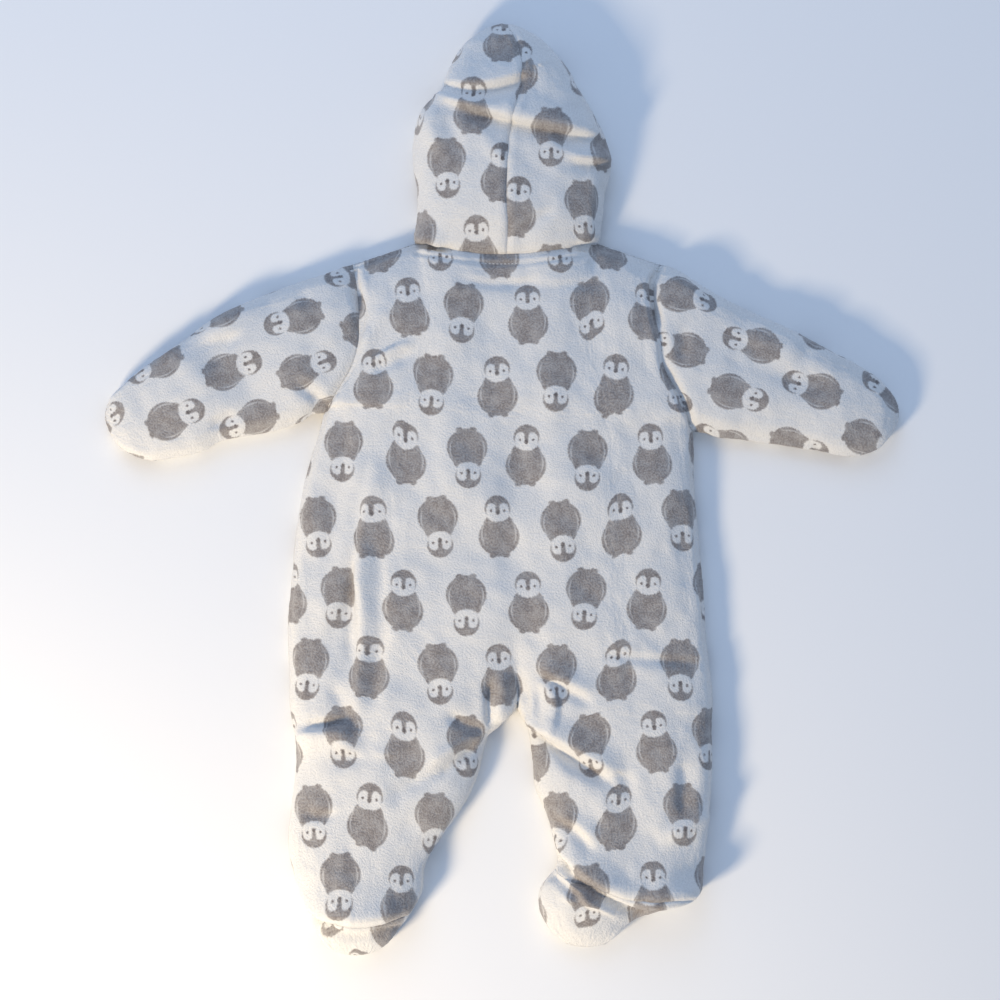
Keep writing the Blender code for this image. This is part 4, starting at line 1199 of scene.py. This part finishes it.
def in_object(tree):
    """Where a point of the surface lies in its object, in metres."""
    return add(tree, "ShaderNodeTexCoord").node.outputs["Object"]


def remap(tree, value, before, after=(0, 1), how="LINEAR"):
    """A value moved from the range before to the range after, and kept inside it."""
    sockets = {"Value": value, "From Min": before[0], "From Max": before[1]}
    sockets |= {"To Min": after[0], "To Max": after[1]}
    return add(tree, "ShaderNodeMapRange", sockets, interpolation_type=how)


def bump(tree, shader, height, strength, depth):
    """Presses a texture's height into the surface, down to a depth in millimetres."""
    sockets = {"Strength": strength, "Distance": depth * MM, "Height": height}
    tree.links.new(add(tree, "ShaderNodeBump", sockets), shader.inputs["Normal"])


def bands(apart):
    """Scale of a wave texture, in metres, whose bands lie this many millimetres apart."""
    return math.tau / 20 / (apart * MM)


def new_material(name, **sockets):
    material = bpy.data.materials.new(name)
    material.use_nodes = True
    shader = material.node_tree.nodes["Principled BSDF"]
    for socket, value in sockets.items():
        shader.inputs[socket.replace("_", " ")].default_value = value
    return material, material.node_tree, shader


# The printed chick, painted in this order. Millimetres from the chick's middle, and ink is 0 for
# bare ground, 1 for the printed taupe and 1.5 for its darkest spots. Each is drawn on both sides.
CHICK = table(
    "x y half_width half_height ink",
    (5.6, -24.2, 3.0, 2.2, 1.0),  # foot
    (0.0, -9.2, 16.8, 15.8, 1.0),  # body
    (0.0, -1.2, 12.8, 12.6, 1.0),  # shoulders
    (0.0, -7.4, 14.6, 15.0, 0.25),  # pale line round the flipper
    (0.0, -7.6, 13.7, 17.4, 1.0),  # belly
    (0.0, 14.6, 10.7, 10.6, 1.05),  # cap
    (0.0, 9.4, 9.8, 6.2, 0.0),  # cheeks
    (4.9, 13.2, 4.7, 5.4, 0.0),  # round the eye
    (0.0, 15.5, 1.8, 4.2, 1.05),  # peak of the cap
    (0.0, 10.9, 1.7, 2.0, 1.45),  # beak
    (5.6, 12.4, 0.95, 1.0, 1.5),  # eye
)
CHICK_ACROSS, CHICK_DOWN = 51.0, 60.0  # the print's repeat, each row set half a repeat along
CHICK_TURN, CHICK_DRIFT = 0.2, 7.0  # each chick's own turn, in radians, and drift in its cell
PRINT_BLUR = 0.85  # how far the ink's edge spreads in the pile
INK_WANDER = 3.0  # how far the tufts carry the ink about
INK_MOST = 1.6  # the ink at which the pile is at its darkest
GROUND, TAUPE, DARKEST = "#E9E7E2", "#8E8783", "#5B5654"


def chick_print(tree, cut):
    """Ink of the print at each place of the flat cut, from 0 to 1.5."""
    cut_x, cut_y, _ = parted(tree, cut)
    down = maths(tree, "DIVIDE", cut_y, CHICK_DOWN * MM)
    row = maths(tree, "FLOOR", down)
    odd = maths(tree, "FLOORED_MODULO", row, 2.0)
    across = maths(tree, "DIVIDE", cut_x, CHICK_ACROSS * MM)
    across = maths(tree, "MULTIPLY_ADD", odd, 0.5, across)
    column = maths(tree, "FLOOR", across)
    in_cell = [
        maths(tree, "MULTIPLY", maths(tree, "SUBTRACT", maths(tree, "FRACT", run), 0.5), repeat)
        for run, repeat in ((across, CHICK_ACROSS), (down, CHICK_DOWN))
    ]
    cell = joined(tree, column, row)
    chance = add(tree, "ShaderNodeTexWhiteNoise", {"Vector": cell}).node.outputs
    drift = vectors(tree, "ADD", chance["Color"], (-0.5, -0.5, 0))
    drift_most = (CHICK_DRIFT, CHICK_DRIFT, 0)
    place = vectors(tree, "MULTIPLY_ADD", drift, drift_most, joined(tree, *in_cell))
    # Every other chick along a row stands on its head.
    upside_down = maths(tree, "FLOORED_MODULO", column, 2.0)
    turn = maths(tree, "MULTIPLY", maths(tree, "SUBTRACT", chance["Value"], 0.5), CHICK_TURN)
    turn = maths(tree, "MULTIPLY_ADD", upside_down, math.pi, turn)
    x, y, _ = parted(tree, turned(tree, place, turn))
    either_side = joined(tree, maths(tree, "ABSOLUTE", x), y)
    ink = 0.0
    for x, y, half_width, half_height, strength in zip(*CHICK.values()):
        scale = (1 / half_width, 1 / half_height, 0)
        shift = (-x / half_width, -y / half_height, 0)
        scaled = vectors(tree, "MULTIPLY_ADD", either_side, scale, shift)
        length = vectors(tree, "LENGTH", scaled).node.outputs["Value"]
        blur = PRINT_BLUR / min(half_width, half_height)
        inside = remap(tree, length, (1 + blur, 1 - blur), how="SMOOTHSTEP")
        ink = add(tree, "ShaderNodeMix", {0: inside, 2: ink, 3: strength}, data_type="FLOAT")
    return ink


def plush_fleece():
    """Polyester plush, knitted, brushed and printed: a soft short pile without gloss, whose tips
    catch light at a glancing angle, and whose ink breaks up between the tufts."""
    material, tree, shader = new_material(
        "plush_fleece", Roughness=0.95, Sheen_Weight=0.35, Sheen_Roughness=0.5
    )
    cut = add(tree, "ShaderNodeUVMap", uv_map="cut")
    millimetres = vectors(tree, "MULTIPLY", cut, (1 / MM, 1 / MM, 0))
    # Tufts about 1.6 mm across.
    tufts = add(
        tree, "ShaderNodeTexNoise",
        {"Vector": millimetres, "Scale": 0.6, "Detail": 3.0, "Roughness": 0.65},
    )
    wander = (INK_WANDER * MM, INK_WANDER * MM, 0)
    ink = chick_print(tree, vectors(tree, "MULTIPLY_ADD", tufts.node.outputs["Color"], wander, cut))
    broken = remap(tree, tufts, (0.3, 0.7), (0.62, 1.15))
    # The pile is brushed this way and that in patches about 9 mm across.
    brushed = add(tree, "ShaderNodeTexNoise", {"Vector": millimetres, "Scale": 0.11, "Detail": 2.0})
    patch = remap(tree, brushed, (0.3, 0.7), (0.84, 1.12))
    amount = maths(tree, "MULTIPLY", maths(tree, "MULTIPLY", ink, broken), patch)
    ramp = add(tree, "ShaderNodeValToRGB", {0: maths(tree, "DIVIDE", amount, INK_MOST)})
    stops = ramp.node.color_ramp.elements
    stops[0].position, stops[0].color = 0.0, colour(GROUND)
    stops[1].position, stops[1].color = 1.0, colour(DARKEST)
    stops.new(1 / INK_MOST).color = colour(TAUPE)
    shade = remap(tree, tufts, (0.25, 0.75), (0.86, 1.04))
    final = add(tree, "ShaderNodeVectorMath", {0: ramp, "Scale": shade}, operation="SCALE")
    tree.links.new(final, shader.inputs["Base Color"])
    bump(tree, shader, tufts, 0.8, 1.2)
    return material


def fleece_backing():
    """The knitted back of the plush: plain, flat and finely ribbed."""
    material, tree, shader = new_material("fleece_backing", Roughness=0.9, Sheen_Weight=0.2)
    cut = add(tree, "ShaderNodeUVMap", uv_map="cut")
    # A wale each 1.2 mm.
    wales = add(
        tree, "ShaderNodeTexWave",
        {"Vector": cut, "Scale": bands(1.2), "Distortion": 1.5, "Detail": 2.0},
    ).node.outputs["Fac"]
    shade = add(
        tree, "ShaderNodeMix", {0: wales, 6: colour("#DAD8D3"), 7: colour("#E8E6E1")},
        data_type="RGBA",
    )
    tree.links.new(shade.node.outputs[2], shader.inputs["Base Color"])
    bump(tree, shader, wales, 0.4, 0.4)
    return material


def woven_tape():
    """Polyester zip tape in a fine herringbone, smooth and slightly glossy along its ribs."""
    material, tree, shader = new_material("woven_tape", Base_Color=colour("#E4E2DC"), Roughness=0.7)
    x, y, _ = parted(tree, in_object(tree))
    # The ribs turn back each 2.7 mm. They are 1.1 mm apart, coarser than the real 0.6 mm, to show.
    across = maths(tree, "SUBTRACT", x, (ZIP_X - MIDDLE[0]) * MM)
    folded = maths(tree, "PINGPONG", across, 2.7 * MM)
    place = turned(tree, joined(tree, folded, y), math.radians(45))
    ribs = add(tree, "ShaderNodeTexWave", {"Vector": place, "Scale": bands(1.1), "Distortion": 0.6})
    bump(tree, shader, ribs.node.outputs["Fac"], 0.5, 0.3)
    return material


def moulded_acetal():
    """Zip teeth moulded in acetal: white, waxy and faintly uneven where they left the mould."""
    material, tree, shader = new_material(
        "moulded_acetal", Base_Color=colour("#EEEDE8"), Roughness=0.38, Subsurface_Weight=0.05
    )
    # Blotches about 1.1 mm across.
    flow = add(
        tree, "ShaderNodeTexNoise", {"Vector": in_object(tree), "Scale": 900.0, "Detail": 2.0}
    )
    tree.links.new(remap(tree, flow, (0, 1), (0.32, 0.46)), shader.inputs["Roughness"])
    return material


def die_cast_zinc():
    """Die-cast zinc with a satin nickel plate, finely scuffed where fingers and the zip rub it."""
    material, tree, shader = new_material(
        "die_cast_zinc", Base_Color=colour("#BDBDBF"), Metallic=1.0, Roughness=0.35
    )
    # Scuffs about 0.4 mm wide and 3 mm long, along the zip.
    drawn = vectors(tree, "MULTIPLY", in_object(tree), (1.0, 0.12, 1.0))
    scuffs = add(tree, "ShaderNodeTexNoise", {"Vector": drawn, "Scale": 2600.0, "Detail": 3.0})
    tree.links.new(remap(tree, scuffs, (0, 1), (0.26, 0.48)), shader.inputs["Roughness"])
    bump(tree, shader, scuffs, 0.15, 0.1)
    return material


def spun_thread():
    """Spun polyester sewing thread: off-white and matt, with a twist that shows as fine ribs."""
    material, tree, shader = new_material(
        "spun_thread", Base_Color=colour("#E6E4DD"), Roughness=0.8
    )
    # A twist each 0.75 mm, coarser than the real 0.4 mm, so that it shows.
    twist = add(
        tree, "ShaderNodeTexWave",
        {"Vector": in_object(tree), "Scale": bands(0.75), "Distortion": 1.0},
    )
    bump(tree, shader, twist.node.outputs["Fac"], 0.4, 0.2)
    return material


# ---------------------------------------------------------------- floor, light and camera


# Metres from here on. Each light's place, aim and size, its watts and its tint.
LIGHTS = (
    ("sky_fill", (-0.5, 1.5, 1.5), (0.0, 0.0, 0.0), 1.4, 11.0, "#B0CCF8"),
    ("warm_key", (-1.05, -1.20, 0.85), (-0.32, -0.42, 0.0), 0.30, 29.0, "#FFE9C6"),
)
WORLD_COLOUR, WORLD_STRENGTH = "#C2D8FA", 0.58
FLOOR_COLOUR, FLOOR_HALF = "#F6F6F4", 4

CAMERA_ELEVATION = 84.0  # degrees over the floor, seen from the feet's side
CAMERA_AWAY = 1.9
FRAME_WIDTH = 0.838  # across the picture, at the garment
FRAME_MIDDLE = (-0.0018, -0.0135, 0.015)
SENSOR_WIDTH = 36.0  # millimetres, like the lens


def stage():
    """A plain pale floor, a warm soft key from the lower left and a cool soft fill opposite."""
    mesh = bpy.data.meshes.new("floor")
    corners = [(-1, -1), (1, -1), (1, 1), (-1, 1)]
    mesh.from_pydata([(x * FLOOR_HALF, y * FLOOR_HALF, 0) for x, y in corners], [], [(0, 1, 2, 3)])
    floor = in_scene("floor", mesh)
    material, _, _ = new_material("paper_floor", Base_Color=colour(FLOOR_COLOUR), Roughness=0.9)
    mesh.materials.append(material)
    for name, place, aim, size, watts, tint in LIGHTS:
        light = bpy.data.lights.new(name, "AREA")
        light.energy, light.color, light.size = watts, colour(tint)[:3], size
        lamp = in_scene(name, light)
        lamp.location = place
        lamp.rotation_euler = (Vector(aim) - Vector(place)).to_track_quat("-Z", "Y").to_euler()
    world = bpy.data.worlds.new("studio")
    world.use_nodes = True
    background = world.node_tree.nodes["Background"].inputs
    background["Color"].default_value = colour(WORLD_COLOUR)
    background["Strength"].default_value = WORLD_STRENGTH
    bpy.context.scene.world = world
    bpy.context.scene.view_settings.view_transform = "Standard"


def camera():
    data = bpy.data.cameras.new("camera")
    data.sensor_width = SENSOR_WIDTH
    data.lens = SENSOR_WIDTH * CAMERA_AWAY / FRAME_WIDTH
    made = in_scene("camera", data)
    tilt = math.radians(90 - CAMERA_ELEVATION)
    x, y, z = FRAME_MIDDLE
    made.location = (x, y - CAMERA_AWAY * math.sin(tilt), z + CAMERA_AWAY * math.cos(tilt))
    made.rotation_euler = (tilt, 0, 0)
    bpy.context.scene.camera = made


# ---------------------------------------------------------------- the scene


def main():
    skin, rows = whole_skin()
    stitched = stitched_rows(rows)
    skin.ease(EASE_PASSES)
    press_unevenness(skin)
    press_folds(skin)
    press_underside(skin)
    press_seams(skin, stitched)
    inner_points = skin.points - WALL * skin.normals(CORNER_PASSES)
    press_pile(skin)
    skin.points[:, 2] = np.maximum(skin.points[:, 2], 0)
    sewn_pieces(skin, inner_points, plush_fleece(), fleece_backing())
    tree = repeat_along_path()
    stitches(skin, stitched, tree, spun_thread())
    zip_pieces(tree, woven_tape(), moulded_acetal(), die_cast_zinc())
    stage()
    camera()


main()
